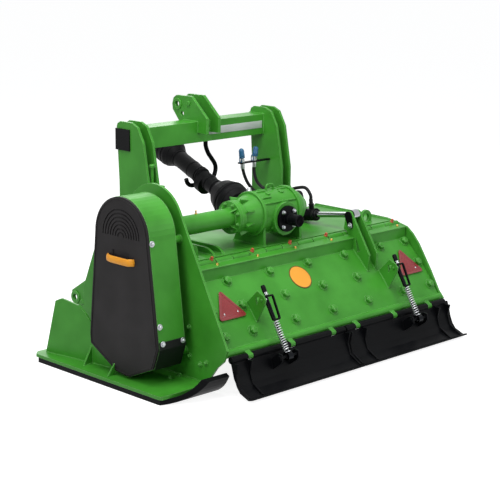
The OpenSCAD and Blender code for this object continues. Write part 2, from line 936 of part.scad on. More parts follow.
// Skirts: plate with a flared lip, ribs and a hinge rod along the top
skirt_path = [[-622, 172], [-640, 120], [-648, 90], [-664, 55], [-687, 28], [-742, 6],
    [-770, 14]];
module skirt_outline() {
    k = len(skirt_path);
    polygon(concat(skirt_path, [for (i = [k - 1:-1:0])
        let (t = unit(skirt_path[min(i + 1, k - 1)] - skirt_path[max(i - 1, 0)]))
        skirt_path[i] + skirt_t * [t[1], -t[0]]]));
}

module skirt(x0, x1) {
    difference() {
        union() {
            across(x0, x1) skirt_outline();
            bar_x(max(x0, -hood_half), min(x1, hood_half), skirt_y, skirt_hinge_z, skirt_pin_r);
        }
        for (s = skirt_lugs)
            difference() {
                translate([s - lug_w / 2 - run_gap, -660, 140])
                    cube([lug_w + 2 * run_gap, 80, 60]);
                bar_x(s - lug_w, s + lug_w, skirt_y, skirt_hinge_z, skirt_pin_r);
            }
    }
}

module skirt_rib(x) {
    across(x, x + 8)
        polygon([[-624, 160], [-671, 165], [-660, 110], [-676, 60], [-745, 20], [-742, 10],
            [-684, 30], [-645, 90]]);
}

lug_pin = [-700, 150];
skirt_in_x = side_x - 15;
module skirt_left() {
    home()
        color(black) {
            skirt(-skirt_in_x, -skirt_gap / 2);
            for (x = [-skirt_in_x, -skirt_in_x + 90, -14])
                skirt_rib(x);
            rod_lugs(spring_x[0]);
        }
}

module skirt_right() {
    home()
        color(black) {
            skirt(skirt_gap / 2, skirt_end_x);
            for (x = [6, 117, skirt_end_x - 120, skirt_end_x - 34])
                skirt_rib(x);
            rod_lugs(spring_x[1]);
        }
}

// Box bracket on the skirt with the pin that takes the rod's eye
lug_half = 60;
lug_t = 8;
lug_pin_r = 7;
module rod_lugs(x) {
    for (s = [-lug_half, lug_half - lug_t])
        across(x + s, x + s + lug_t)
            polygon([[-636, 130], [-688, 172], [-712, 168], [-716, 140], [-700, 118], [-652, 84]]);
    bar_x(x - lug_half, x + lug_half, lug_pin[0], lug_pin[1], lug_pin_r);
}

// Spring rods: guide loop hung on the hood, rod pinned to the skirt and free to slide up
rod_len = norm(guide_pin - lug_pin);
rod_lean = atan2(guide_pin[0] - lug_pin[0], guide_pin[1] - lug_pin[1]);
push_r = 6;
loop_low = rod_len - 110;
loop_top = rod_len + 18;
loop_bar = 10;
rod_top = rod_len + 64;
eye_half = 15;
lug_slack = 4.5;
module on_rod(x) {
    translate([x, lug_pin[0], lug_pin[1]])
        rotate([-rod_lean, 0, 0])
            children();
}

module guide(x) {
    color(black)
        on_rod(x)
            difference() {
                translate([-guide_half, -11, loop_low])
                    cube([2 * guide_half, 22, loop_top - loop_low]);
                translate([-guide_half + guide_wall, -12, loop_low + loop_bar])
                    cube([2 * (guide_half - guide_wall), 24, loop_top - loop_low - 2 * loop_bar]);
                translate([0, 0, loop_low - 1])
                    cylinder(h = loop_top - loop_low + 2, r = push_r + 0.5);
                translate([-guide_half - 1, 0, rod_len])
                    rotate([0, 90, 0])
                        cylinder(h = guide_wall + 2, r = stub_r + pin_play);
            }
}

module guide_left() {
    home()
        guide(spring_x[0]);
}

module guide_right() {
    home()
        guide(spring_x[1]);
}

module push_rod(x) {
    color(steel)
        on_rod(x)
            difference() {
                union() {
                    cylinder(h = rod_top, r = push_r);
                    translate([0, 0, rod_top - 26])
                        cylinder(h = 26, r = push_r + 4);
                    rotate([0, 90, 0])
                        cylinder(h = 2 * eye_half, r = 20, center = true);
                }
                rotate([0, 90, 0])
                    cylinder(h = 2 * eye_half + 2, r = lug_pin_r + lug_slack, center = true);
            }
}

module push_rod_left() {
    home()
        push_rod(spring_x[0]);
}

module push_rod_right() {
    home()
        push_rod(spring_x[1]);
}

// Compression spring between the rod's eye and the loop, drawn as its sleeve
spring_low = 24;
spring_r = 17;
module spring(x) {
    color(steel)
        on_rod(x)
            translate([0, 0, spring_low])
                difference() {
                    cylinder(h = loop_low - seat_gap - spring_low, r = spring_r);
                    translate([0, 0, -1])
                        cylinder(h = rod_len, r = spring_r - 5);
                }
}

module spring_left() {
    home()
        spring(spring_x[0]);
}

module spring_right() {
    home()
        spring(spring_x[1]);
}

// Rotor: tube with spiral rows of tooth holders and carbide tips
drum_half = side_x - 20;
tooth_w = 36;
tooth_turn = 137.5;
module tooth() {
    translate([-tooth_w / 2, 0, 0])
        rotate([90, 0, 90])
            linear_extrude(tooth_w)
                polygon([[-45, drum_r - 12], [45, drum_r - 12], [30, drum_r + 30],
                    [12, tip_r - 24], [-14, tip_r - 20]]);
    translate([0, 4, tip_r - 44])
        cylinder(h = 36, r = 13);
    translate([0, 4, tip_r - 8])
        cylinder(h = 8, r1 = 13, r2 = 4, $fn = 48);
}

module rotor() {
    home()
        color(steel)
            translate([0, rotor_y, rotor_z]) {
                difference() {
                    bar_x(-drum_half, drum_half, 0, 0, drum_r);
                    bar_x(-drum_half + 20, drum_half - 20, 0, 0, drum_r - 20);
                }
                bar_x(casing_in - casing_t - 30, right_x + bearing_out, 0, 0, journal_r);
                for (i = [0:tooth_n - 1])
                    translate([-drum_half + (i + 0.5) * 2 * drum_half / tooth_n, 0, 0])
                        rotate([i * tooth_turn, 0, 0])
                            tooth();
            }
}

// Drive shaft with its guard, resting on the hook under the beam
collar_s = [330, 375];
sleeve_s = collar_s[1] + seat_gap;
sleeve_end = 740;
bore_end = 590;
stem_r = 20;
spline_r = 17.5;
module on_shaft() {
    translate([input_x, joint_y, input_z])
        rotate([0, 0, -shaft_yaw])
            rotate([shaft_tilt - 90, 0, 0])
                children();
}

module shaft_bell() {
    home()
        color(black)
            on_shaft() {
                difference() {
                    rotate_extrude()
                        polygon([[0, 24], [54, 24], [80, 36], [94, 60], [99, 92], [95, 132], [80, 180],
                            [58, 215], [tube_in_r, 230], [tube_in_r, bore_end - 20], [0, bore_end - 20]]);
                    translate([0, 0, 62])
                        cylinder(h = 88, r = 84);
                }
                difference() {
                    translate([0, 0, 6])
                        cylinder(h = 150, r = 28);
                    sphere(r = ball_r + seat_gap);
                }
                translate([0, 22, collar_s[0]])
                    cylinder(h = collar_s[1] - collar_s[0], r = 56);
            }
}

module shaft_sleeve() {
    home()
        color(black)
            on_shaft()
                difference() {
                    rotate_extrude()
                        polygon([[0, sleeve_s], [sleeve_r, sleeve_s], [sleeve_r, 620], [76, 672],
                            [78, sleeve_end], [0, sleeve_end]]);
                    translate([0, 0, sleeve_s - 1])
                        cylinder(h = bore_end - sleeve_s + 1, r = tube_in_r + pin_play);
                    translate([0, 0, bore_end + 20])
                        cylinder(h = 60, r = stem_r + pin_play);
                    translate([0, 0, 660])
                        cylinder(h = sleeve_end - 659, r = 62);
                }
}

module shaft_yoke() {
    home()
        color(steel)
            on_shaft()
                difference() {
                    union() {
                        translate([0, 0, bore_end + 24])
                            cylinder(h = 50, r = stem_r);
                        translate([0, 0, 664])
                            cylinder(h = 116, r = 36);
                    }
                    translate([0, 0, 700])
                        cylinder(h = 81, r = spline_r);
                }
}

side_plate_left();
side_plate_right();
housing_shell();
anvil_bar();
hood_hinge_pin();
skid_shelf();
skid_guard();
sole_left();
sole_right();
drive_casing();
casing_cover();
cover_handle();
service_panel();
tower_left();
tower_right();
cross_beam();
beam_caps();
top_link_bracket();
gearbox();
gearbox_cap();
gearbox_feet();
cross_tube();
rotor_bearing();
lifting_eyes();
shaft_hook();
coupler_rack();
couplers();
lift_anchor();
hose_left();
hose_right();
hood_shell();
hood_liners();
lift_arms();
lift_pin();
spring_brackets();
lift_barrel();
lift_rod();
skirt_left();
skirt_right();
guide_left();
guide_right();
push_rod_left();
push_rod_right();
spring_left();
spring_right();
rotor();
shaft_bell();
shaft_sleeve();
shaft_yoke();
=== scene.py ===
# Tractor stone crusher, dressed round its CAD frame in the order it is welded and bolted together.
# Sizes are in millimetres from the machine's middle line, as in its source: X to the machine's
# right seen from behind, Y forward, Z up from the ground.
import math

import bmesh
import bpy
from mathutils import Matrix, Vector


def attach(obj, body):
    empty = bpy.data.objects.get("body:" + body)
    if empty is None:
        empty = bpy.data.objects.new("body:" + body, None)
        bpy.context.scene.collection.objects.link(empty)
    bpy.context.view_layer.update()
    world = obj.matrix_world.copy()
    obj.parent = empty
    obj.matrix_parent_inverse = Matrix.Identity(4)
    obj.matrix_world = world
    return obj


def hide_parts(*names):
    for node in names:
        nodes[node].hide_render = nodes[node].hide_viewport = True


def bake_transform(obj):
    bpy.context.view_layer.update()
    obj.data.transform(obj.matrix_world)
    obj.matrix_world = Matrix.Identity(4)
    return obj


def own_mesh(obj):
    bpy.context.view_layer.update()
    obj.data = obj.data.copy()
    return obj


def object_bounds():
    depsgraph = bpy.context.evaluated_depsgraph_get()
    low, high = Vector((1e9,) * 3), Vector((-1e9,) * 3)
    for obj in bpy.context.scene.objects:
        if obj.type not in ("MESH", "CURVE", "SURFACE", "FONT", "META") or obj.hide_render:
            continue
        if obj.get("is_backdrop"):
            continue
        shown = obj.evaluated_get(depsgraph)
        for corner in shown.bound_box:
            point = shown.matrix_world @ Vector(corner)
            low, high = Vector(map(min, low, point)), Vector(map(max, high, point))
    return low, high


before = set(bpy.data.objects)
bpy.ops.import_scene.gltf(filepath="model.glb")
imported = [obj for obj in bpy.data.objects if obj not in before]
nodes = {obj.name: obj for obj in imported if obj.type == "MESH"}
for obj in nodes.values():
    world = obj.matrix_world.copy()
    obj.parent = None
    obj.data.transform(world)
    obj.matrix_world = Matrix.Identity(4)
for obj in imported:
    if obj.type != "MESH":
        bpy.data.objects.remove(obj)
cad_box = [list(corner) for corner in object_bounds()]

bpy.context.scene.view_settings.view_transform = "Standard"

# Photographer's side: a long lens, left of the machine and behind it, a little above
# the hitch. The picture was taken with the camera tipped by half a degree.
camera = bpy.data.objects.new("camera", bpy.data.cameras.new("camera"))
bpy.context.scene.collection.objects.link(camera)
bpy.context.scene.camera = camera
camera.data.sensor_width = 36
camera.data.lens = 104.6
camera.data.clip_end = 200
camera.location = (-5.114, -5.316, 2.151)
aim = Vector((0.0945, -0.0505, 0.4736)) - camera.location
camera.rotation_euler = (aim.to_track_quat("-Z", "Y").to_matrix().to_4x4()
                         @ Matrix.Rotation(math.radians(0.5), 4, "Z")).to_euler()


def linear(code):
    """sRGB hex code to the linear colour that a shader takes"""
    parts = [int(code[i:i + 2], 16) / 255 for i in (1, 3, 5)]
    return [p / 12.92 if p <= 0.04045 else ((p + 0.055) / 1.055) ** 2.4 for p in parts] + [1]


def add(tree, kind, sockets=None, **settings):
    """One node with its settings; a socket given for an input is linked to it"""
    made = tree.nodes.new(kind)
    for name, value in settings.items():
        setattr(made, name, value)
    for name, value in (sockets or {}).items():
        if isinstance(value, bpy.types.NodeSocket):
            tree.links.new(value, made.inputs[name])
        else:
            made.inputs[name].default_value = value
    return made


# Studio: a seamless pale floor under soft boxes, with a white room round it. The floor and
# the room show as white to the camera and in polished metal, and light nothing by that.
def on_show(tree):
    """1 for a ray from the camera, off polished metal or through glass, 0 for any other"""
    rays = add(tree, "ShaderNodeLightPath")
    shown = rays.outputs["Is Camera Ray"]
    for other in ("Is Glossy Ray", "Is Transmission Ray"):
        shown = add(tree, "ShaderNodeMath", {0: shown, 1: rays.outputs[other]},
                    operation="MAXIMUM").outputs[0]
    return shown


room = bpy.data.worlds.new("white_room")
bpy.context.scene.world = room
room.use_nodes = True
room.node_tree.nodes.clear()
soft = add(room.node_tree, "ShaderNodeBackground", {"Color": linear("#f4f7fa"), "Strength": 0.3})
white = add(room.node_tree, "ShaderNodeBackground", {"Color": (1, 1, 1, 1), "Strength": 1.0})
both = add(room.node_tree, "ShaderNodeMixShader", {0: on_show(room.node_tree),
           1: soft.outputs[0], 2: white.outputs[0]})
add(room.node_tree, "ShaderNodeOutputWorld", {"Surface": both.outputs[0]})

floor_mesh = bpy.data.meshes.new("studio_floor")
floor_r, floor_sides, floor_z = 90, 64, -0.001
ring = [(floor_r * math.cos(2 * math.pi * k / floor_sides),
         floor_r * math.sin(2 * math.pi * k / floor_sides), floor_z) for k in range(floor_sides)]
floor_mesh.from_pydata(ring, [], [range(floor_sides)])
floor = bpy.data.objects.new("studio_floor", floor_mesh)
bpy.context.scene.collection.objects.link(floor)
floor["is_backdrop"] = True
paper = bpy.data.materials.new("white_backdrop_paper")
paper.use_nodes = True
paper.node_tree.nodes.clear()
matt = add(paper.node_tree, "ShaderNodeBsdfDiffuse", {"Color": linear("#b0b0b0")})
lift = add(paper.node_tree, "ShaderNodeEmission", {"Color": (1, 1, 1, 1), "Strength": 0.87})
both = add(paper.node_tree, "ShaderNodeAddShader", {0: matt.outputs[0], 1: lift.outputs[0]})
seen = add(paper.node_tree, "ShaderNodeMixShader", {0: on_show(paper.node_tree),
           1: matt.outputs[0], 2: both.outputs[0]})
add(paper.node_tree, "ShaderNodeOutputMaterial", {"Surface": seen.outputs[0]})
floor_mesh.materials.append(paper)

lit_spot = Vector((0, 0, 0.5))
for name, place, size, watts in (("box_over", (-0.9, -0.7, 4.2), 3.0, 150),
                                 ("box_left", (-4.6, -1.2, 3.0), 2.4, 72),
                                 ("box_right", (1.6, -4.8, 2.8), 2.4, 58),
                                 ("box_front", (2.4, 4.4, 3.0), 2.6, 60)):
    lamp = bpy.data.objects.new(name, bpy.data.lights.new(name, "AREA"))
    lamp.data.size = size
    lamp.data.energy = watts
    lamp.location = place
    lamp.rotation_euler = (lit_spot - Vector(place)).to_track_quat("-Z", "Y").to_euler()
    bpy.context.scene.collection.objects.link(lamp)


# Wear soles: two runners of wear plate bolted under the skids, sprayed black with a two-part
# enamel. It gives a thin dark film that the ground rubs to bare steel along the edges; the
# grey line along every edge of this black is partly that wear and partly a painted highlight.
# Its orange peel is drawn coarser than real, so that it shows.
def painted(name, colour, deep, gloss, peel, grain, edge_wear_and_highlight, edge_wear_and_highlight_colour="#a9d49a", shine=0.5):
    """Paint or moulded skin: its colour, its darker drift, roughness, orange peel of that many
    millimetres and that depth, how far wear and a painted highlight lighten its edges, to what
    colour, its sheen"""
    drift_mm, edge_mm = 180, 2.2
    coat = bpy.data.materials.new(name)
    coat.use_nodes = True
    tree = coat.node_tree
    tree.nodes.clear()
    place = add(tree, "ShaderNodeTexCoord").outputs["Object"]
    cloud = add(tree, "ShaderNodeTexNoise", {"Vector": place, "Scale": 1000 / drift_mm,
                "Detail": 3.0})
    drift = add(tree, "ShaderNodeMapRange", {"Value": cloud.outputs["Fac"], "From Min": 0.35,
                "From Max": 0.68})
    film = add(tree, "ShaderNodeMix", {0: drift.outputs[0], 6: linear(colour), 7: linear(deep)},
               data_type="RGBA")
    skin = add(tree, "ShaderNodeTexNoise", {"Vector": place, "Scale": 1000 / peel, "Detail": 2.0})
    round_edge = add(tree, "ShaderNodeBevel", {"Radius": edge_mm / 1000}, samples=4)
    bump = add(tree, "ShaderNodeBump", {"Height": skin.outputs["Fac"], "Strength": 0.35,
               "Distance": grain / 1000, "Normal": round_edge.outputs[0]})
    # Edge mask: where the bevelled normal parts from the true one, the colour is lightened towards
    # the edge colour, partly as edge wear and partly as a painted highlight.
    true = add(tree, "ShaderNodeNewGeometry")
    bend = add(tree, "ShaderNodeVectorMath", {0: round_edge.outputs[0],
               1: true.outputs["Normal"]}, operation="DOT_PRODUCT")
    edge = add(tree, "ShaderNodeMapRange", {"Value": bend.outputs["Value"], "From Min": 0.995,
               "From Max": 0.86, "To Max": edge_wear_and_highlight})
    worn_and_highlit = add(tree, "ShaderNodeMix", {0: edge.outputs[0], 6: film.outputs[2],
               7: linear(edge_wear_and_highlight_colour)}, data_type="RGBA")
    haze = add(tree, "ShaderNodeMapRange", {"Value": cloud.outputs["Fac"], "From Min": 0.3,
               "From Max": 0.7, "To Min": gloss, "To Max": gloss + 0.1})
    shader = add(tree, "ShaderNodeBsdfPrincipled", {"Base Color": worn_and_highlit.outputs[2],
                 "Roughness": haze.outputs[0], "IOR": 1.5, "Specular IOR Level": shine,
                 "Normal": bump.outputs[0]})
    add(tree, "ShaderNodeOutputMaterial", {"Surface": shader.outputs[0]})
    return coat


def wear(material, *names):
    """Gives CAD nodes their real finish"""
    for name in names:
        for holder in nodes[name].material_slots:
            holder.material = material


black_enamel = painted("black_enamel", "#0a0b0d", "#07080a", 0.36, 5, 0.25, 0.14, "#4c4e52", 0.06)
wear(black_enamel, "sole_left", "sole_right")

# Welded body: side plates and deck in plate steel, sprayed with a leaf-green two-part enamel
# after welding. It gives an even satin film; the bright line along each edge is a painted
# highlight.
green_enamel = painted("leaf_green_enamel", "#43962f", "#378424", 0.34, 5, 0.25, 0.5, shine=0.24)
wear(green_enamel, "side_plate_left", "side_plate_right", "housing_shell")

# From millimetres about the machine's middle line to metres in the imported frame
home = Matrix.Scale(0.001, 4) @ Matrix.Translation((125, -70, 0))


def piece(name, bm, material, body, sharp=32):
    """Closes a mesh drawn in millimetres, shades it and lets it ride on its body, if it has one"""
    bmesh.ops.recalc_face_normals(bm, faces=bm.faces)
    bm.transform(home)
    mesh = bpy.data.meshes.new(name)
    bm.to_mesh(mesh)
    bm.free()
    mesh.shade_smooth()
    mesh.set_sharp_from_angle(angle=math.radians(sharp))
    mesh.materials.append(material)
    made = bpy.data.objects.new(name, mesh)
    bpy.context.scene.collection.objects.link(made)
    if body:
        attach(made, body)
    return made


def circle(r, sides=12, flat=1.0):
    """Round section of a bar; flat makes it oval"""
    return [(r * math.cos(2 * math.pi * k / sides), flat * r * math.sin(2 * math.pi * k / sides))
            for k in range(sides)]


def swept(bm, path, sections, start=None, closed=False):
    """Bar along a path; sections is one outline, or one for each point. Start is the way that
    an outline's first measure points to at the path's beginning."""
    path = [Vector(p) for p in path]
    n = len(path)
    if not isinstance(sections[0][0], (tuple, list)):
        sections = [sections] * n
    up = Vector(start) if start else None
    rings = []
    for i, p in enumerate(path):
        after = path[(i + 1) % n] if closed else path[min(i + 1, n - 1)]
        before = path[i - 1] if closed else path[max(i - 1, 0)]
        way = (after - before).normalized()
        if up is None:
            up = way.orthogonal()
        up = (up - way * up.dot(way)).normalized()
        cross = way.cross(up)
        rings.append([bm.verts.new(p + up * a + cross * b) for a, b in sections[i]])
    pairs = list(zip(rings, rings[1:]))
    if closed:
        pairs.append((rings[-1], rings[0]))
    for low, high in pairs:
        for k in range(len(low)):
            j = (k + 1) % len(low)
            bm.faces.new((low[k], low[j], high[j], high[k]))
    if not closed:
        bm.faces.new(rings[0][::-1])
        bm.faces.new(rings[-1])


def stepped(path, pitch):
    """Points every so many millimetres along a path of straight stretches"""
    path = [Vector(p) for p in path]
    points = []
    for a, b in zip(path, path[1:]):
        n = max(1, round((b - a).length / pitch))
        points += [a.lerp(b, k / n) for k in range(n)]
    return points + [path[-1]]


def weld(bm, path, leg=5.0):
    """Fillet weld along a joint, with the ripple that each dab of the torch leaves"""
    dab = 2.6
    points = stepped(path, dab)
    swept(bm, points, [circle(leg * (0.94 + 0.1 * (k % 2) + 0.05 * math.sin(k * 0.37)), 7)
                       for k in range(len(points))])


def round_weld(bm, place, axis, radius, leg=4.0):
    """Fillet weld round a tube or a boss"""
    turn = Vector(axis).normalized().to_track_quat("Z", "Y").to_matrix()
    dab = 2.6
    n = max(16, 2 * round(math.pi * radius / (2 * dab)))
    swept(bm, [Vector(place) + turn @ Vector((radius * math.cos(2 * math.pi * k / n),
                                              radius * math.sin(2 * math.pi * k / n), 0))
               for k in range(n)],
          [circle(leg * (0.94 + 0.1 * (k % 2)), 7) for k in range(n)], axis, True)


def turned(bm, profile, place, axis, sides=28, hollow=False):
    """Turned solid: (radius, distance along the axis) pairs from one end's middle to the other,
    or round a bore where it is hollow"""
    turn = Vector(axis).normalized().to_track_quat("Z", "Y").to_matrix()
    rings = []
    for r, along in profile:
        if r == 0:
            rings.append([bm.verts.new(Vector(place) + turn @ Vector((0, 0, along)))])
        else:
            rings.append([bm.verts.new(Vector(place) + turn @ Vector(
                (r * math.cos(2 * math.pi * k / sides), r * math.sin(2 * math.pi * k / sides),
                 along))) for k in range(sides)])
    pairs = list(zip(rings, rings[1:]))
    if hollow:
        pairs.append((rings[-1], rings[0]))
    for low, high in pairs:
        for k in range(sides):
            j = (k + 1) % sides
            if len(low) == 1:
                corners = (low[0], high[j], high[k])
            elif len(high) == 1:
                corners = (low[k], low[j], high[0])
            else:
                corners = (low[k], low[j], high[j], high[k])
            bm.faces.new(corners)


def bolt(bm, place, axis, across, washer=None, thick=None):
    """Hexagon head on a washer, with a stub of thread above it"""
    r = across / 2 / math.cos(math.pi / 6)
    w = washer or across * 0.92
    h = thick or across * 0.62
    turned(bm, [(0, -1), (w, -1), (w, 2.4), (w - 0.8, 3.2), (0, 3.2)], place, axis)
    turned(bm, [(0, 2), (r * 0.94, 2), (r, 2 + h * 0.12), (r, 2 + h * 0.84), (r * 0.87, 2 + h),
                (0, 2 + h)], place, axis, 6)
    turned(bm, [(0, h), (across * 0.3, h), (across * 0.3, h + 3.5), (across * 0.24, h + 4.5),
                (0, h + 4.5)], place, axis, 16)


def slab(bm, outline, place, u, v, thick, ease=1.2):
    """Plate with eased edges: its outline lies along u and v from a place in its middle"""
    u, v = Vector(u).normalized(), Vector(v).normalized()
    half = u.cross(v).normalized() * thick / 2
    low = [bm.verts.new(Vector(place) + u * a + v * b - half) for a, b in outline]
    high = [bm.verts.new(corner.co + 2 * half) for corner in low]
    faces = [bm.faces.new(low[::-1]), bm.faces.new(high)]
    rims = {edge for face in faces for edge in face.edges}
    for k in range(len(low)):
        j = (k + 1) % len(low)
        bm.faces.new((low[k], low[j], high[j], high[k]))
    bmesh.ops.bevel(bm, geom=list(rims), offset=ease, segments=2, profile=0.5, affect="EDGES")


inner, deck = 800, 560
outer = inner + 12
seams = bmesh.new()
for s in (-1, 1):
    weld(seams, [(s * inner, -244, deck), (s * inner, 330, deck), (s * inner, 400, 300),
                 (s * inner, 400, 240)], 5.5)
    weld(seams, [(s * inner, -240, deck - 12), (s * inner, 320, deck - 12)], 5)
piece("deck_welds", seams, green_enamel, "frame")

# Small screws in the plates' tails, which hold the wear lining inside them. They have
# hexagon heads and are sprayed over with the body.
screws = bmesh.new()
for y, z in ((-368, 287), (-372, 147), (-447, 121), (-487, 137)):
    bolt(screws, (-outer, y, z), (-1, 0, 0), 16)
    bolt(screws, (outer, y, z), (1, 0, 0), 16)
for x, y in ((-886, -315), (-828, -323)):
    bolt(screws, (x, y, 40), (0, 0, 1), 16)
piece("lining_screws", screws, green_enamel, "frame")


# Counter bar and rotor: forged in wear steel, with brazed carbide tips. Stones scour the
# steel to a dull brown-grey, and the carbide stays darker and smoother.
def metal(name, colour, rough, rough_top, streak, strength):
    """Bare or plated metal: colour, roughness from and to, streak spacing in mm and strength"""
    cloud_mm, streak_depth_mm = 40, 0.5
    steel = bpy.data.materials.new(name)
    steel.use_nodes = True
    tree = steel.node_tree
    tree.nodes.clear()
    place = add(tree, "ShaderNodeTexCoord").outputs["Object"]
    cloud = add(tree, "ShaderNodeTexNoise", {"Vector": place, "Scale": 1000 / cloud_mm,
                "Detail": 4.0})
    fine = add(tree, "ShaderNodeTexNoise", {"Vector": place, "Scale": 1000 / streak,
               "Detail": 3.0})
    tone = add(tree, "ShaderNodeMix", {0: cloud.outputs["Fac"], 6: linear(colour),
               7: [c * 0.62 for c in linear(colour)[:3]] + [1]}, data_type="RGBA")
    haze = add(tree, "ShaderNodeMapRange", {"Value": cloud.outputs["Fac"], "From Min": 0.3,
               "From Max": 0.7, "To Min": rough, "To Max": rough_top})
    bump = add(tree, "ShaderNodeBump", {"Height": fine.outputs["Fac"], "Strength": strength,
               "Distance": streak_depth_mm / 1000})
    shader = add(tree, "ShaderNodeBsdfPrincipled", {"Base Color": tone.outputs[2],
                 "Metallic": 1.0, "Roughness": haze.outputs[0], "Normal": bump.outputs[0]})
    add(tree, "ShaderNodeOutputMaterial", {"Surface": shader.outputs[0]})
    return steel


wear_plate = metal("wear_plate_steel", "#7d766e", 0.45, 0.65, 3, 0.5)
carbide = metal("sintered_carbide", "#55565a", 0.3, 0.4, 1.5, 0.15)
wear(wear_plate, "anvil_bar", "rotor")

rotor_mid = Vector((0, -160, 275))
tooth_count, tooth_turn, drum_length, tip_seat = 36, 137.5, 1560, 205
tips = bmesh.new()
for i in range(tooth_count):
    turn = Matrix.Rotation(math.radians(i * tooth_turn), 3, "X")
    x = (i + 0.5) * drum_length / tooth_count - drum_length / 2
    foot = rotor_mid + Vector((x, 0, 0)) + turn @ Vector((0, 4, tip_seat))
    turned(tips, [(0, 0), (15, 0), (15, 5), (13.6, 7), (13.6, 24), (12, 28), (5, 35.2), (0, 36)],
           foot, turn @ Vector((0, 0, 1)), 20)
piece("carbide_tips", tips, carbide, "rotor")

# Rotor bearings: flanged housings bolted through each side plate, painted with the body. Each
# has eight bolts whose zinc plate shines bluish white, and a yellow brass grease nipple.
zinc = metal("bright_zinc_plate", "#c9ccd0", 0.28, 0.42, 2, 0.2)
brass = metal("turned_brass", "#c8a256", 0.25, 0.38, 2, 0.15)
wear(green_enamel, "rotor_bearing")


def spoke(degrees, shaft="X"):
    """Way out from a shaft that lies along X or Y, at so many degrees round it"""
    a, b = math.cos(math.radians(degrees)), math.sin(math.radians(degrees))
    return Vector((0, a, b)) if shaft == "X" else Vector((a, 0, b))


flange_face, bolt_ring = 14, 97
flanges, bolts, nipples = bmesh.new(), bmesh.new(), bmesh.new()
for s in (-1, 1):
    axle = rotor_mid + Vector((s * outer, 0, 0))
    turned(flanges, [(70.3, 0), (112, 0), (112, 11), (109, flange_face), (84, flange_face),
                     (78, 18), (76, 30), (70.3, 32)], axle, (s, 0, 0), 48, True)
    for k in range(8):
        spot = axle + Vector((s * flange_face, 0, 0)) + spoke(22.5 + 45 * k) * bolt_ring
        bolt(bolts, spot, (s, 0, 0), 18, 14)
    turned(nipples, [(0, 0), (5, 0), (5, 5), (3, 7), (3, 12), (4, 13), (4, 16), (2, 18), (0, 18)],
           axle + Vector((s * 24, 0, 72)), (0, 0, 1), 12)
turned(flanges, [(40.4, 0), (68, 0), (68, 4), (64, 8), (46, 8), (40.4, 5)],
       rotor_mid + Vector((outer + 48, 0, 0)), (1, 0, 0), 48, True)
piece("bearing_flanges", flanges, green_enamel, "frame")
piece("bearing_bolts", bolts, zinc, "frame")
piece("bearing_nipples", nipples, brass, "frame")

# Left skid: a shelf along the side plate and a bent guard that keeps stones off the casing,
# both cut from plate, stiffened by a gusset, welded on and painted with the body.
wear(green_enamel, "skid_shelf", "skid_guard")
shelf_top, shelf_x = 40, -1110
seams = bmesh.new()
weld(seams, [(-outer, 464, shelf_top), (-outer, -470, shelf_top)], 5)
guard_y, guard_turn = 436, math.radians(9)
guard_way = (Matrix.Translation((shelf_x + 60, guard_y, 0))
             @ Matrix.Rotation(guard_turn, 4, "Z") @ Matrix.Translation((0, -guard_y, 0)))
for x in (-5, 5):
    weld(seams, [guard_way @ Vector((x, y, shelf_top)) for y in (428, 130, 118, -26)], 4.5)
for y in (118, 128):
    weld(seams, [guard_way @ Vector((x, y, shelf_top)) for x in (-60, -8)], 4)
slab(seams, [(-22, -28), (22, -28), (22, 28)], (shelf_x + 44, -95, shelf_top + 28), (1, 0, 0),
     (0, 0, 1), 9)
piece("skid_welds", seams, green_enamel, "frame")

# Drive casing: a welded case on four posts, with a pressed cover whose powder coat gives a dry
# charcoal. Its rear panel is blackened steel, darker and a little glossier, and bright zinc
# screws hold both.
wear(green_enamel, "drive_casing")
# The grey line along each edge of the cover is a painted highlight.
cover_black = painted("powder_coated_cover", "#1f1d1e", "#1a1819", 0.5, 3, 0.2, 0.15, "#4c4a4b",
                      0.16)
wear(cover_black, "casing_cover")
# The grey line along each edge of the panel is a painted highlight.
black_steel = painted("blackened_steel", "#0f1011", "#0b0c0d", 0.4, 2, 0.1, 0.25, "#606265", 0.16)
wear(black_steel, "service_panel")
cover_x = -1044
pulley_y, pulley_z, casing_r = -154, 718, 189
casing_line = [(pulley_y + casing_r * math.cos(math.pi * k / 24),
                pulley_z + casing_r * math.sin(math.pi * k / 24)) for k in range(25)]
casing_line += [(-408, 225), (-373, 127), (-201, 52), (-111, 60), (81, 160), (85, 210)]


def inside(line, d):
    """Closed outline moved inwards by d; its points run anticlockwise"""
    moved = []
    for k, p in enumerate(line):
        a = (Vector(p) - Vector(line[k - 1])).normalized()
        b = (Vector(line[(k + 1) % len(line)]) - Vector(p)).normalized()
        m, n = Vector((-a.y, a.x)), Vector((-b.y, b.x))
        moved.append(Vector(p) + d * (m + n) / (1 + m.dot(n)))
    return moved


rim = bmesh.new()
swept(rim, [(cover_x, y, z) for y, z in inside(casing_line, 9)], circle(3.4, 8, 0.8),
      (1, 0, 0), True)
piece("cover_rim", rim, cover_black, "frame")
screws = bmesh.new()
wall_out = Vector((0, -0.991, 0.131))
wall_top_y, wall_slope = pulley_y - casing_r, 65 / 493
for x, z in ((-1019, 712), (-1018, 330)):
    bolt(screws, (x, wall_top_y - (pulley_z - z) * wall_slope, z), wall_out, 16)
for x, y, z in ((-1012, -409, 251), (-889, -409, 247)):
    bolt(screws, (x, y, z), wall_out, 15)
piece("casing_screws", screws, zinc, "frame")
seams = bmesh.new()
post_length = 60
for y, z in ((-300, 700), (-10, 700), (-340, 170), (40, 190)):
    round_weld(seams, (-outer, y, z), (1, 0, 0), 18)
    round_weld(seams, (-outer - post_length, y, z), (1, 0, 0), 18)
for x in (-1030.5, -873.5):
    swept(seams, [(x, y, z) for y, z in inside(casing_line, 0.6)], circle(2.2, 8), (1, 0, 0),
          True)
piece("casing_welds", seams, green_enamel, "frame")

# Cover handle: a bail of round bar pressed oval, with its ends turned into the cover. Its
# enamel gives a warm glossy orange. A pocket pressed in the sheet leaves room for the fingers.
# The pale line along the handle's edges is a painted highlight.
orange_enamel = painted("orange_enamel", "#f0a322", "#e8961a", 0.34, 5, 0.1, 0.25, "#ffd9a0", 0.4)


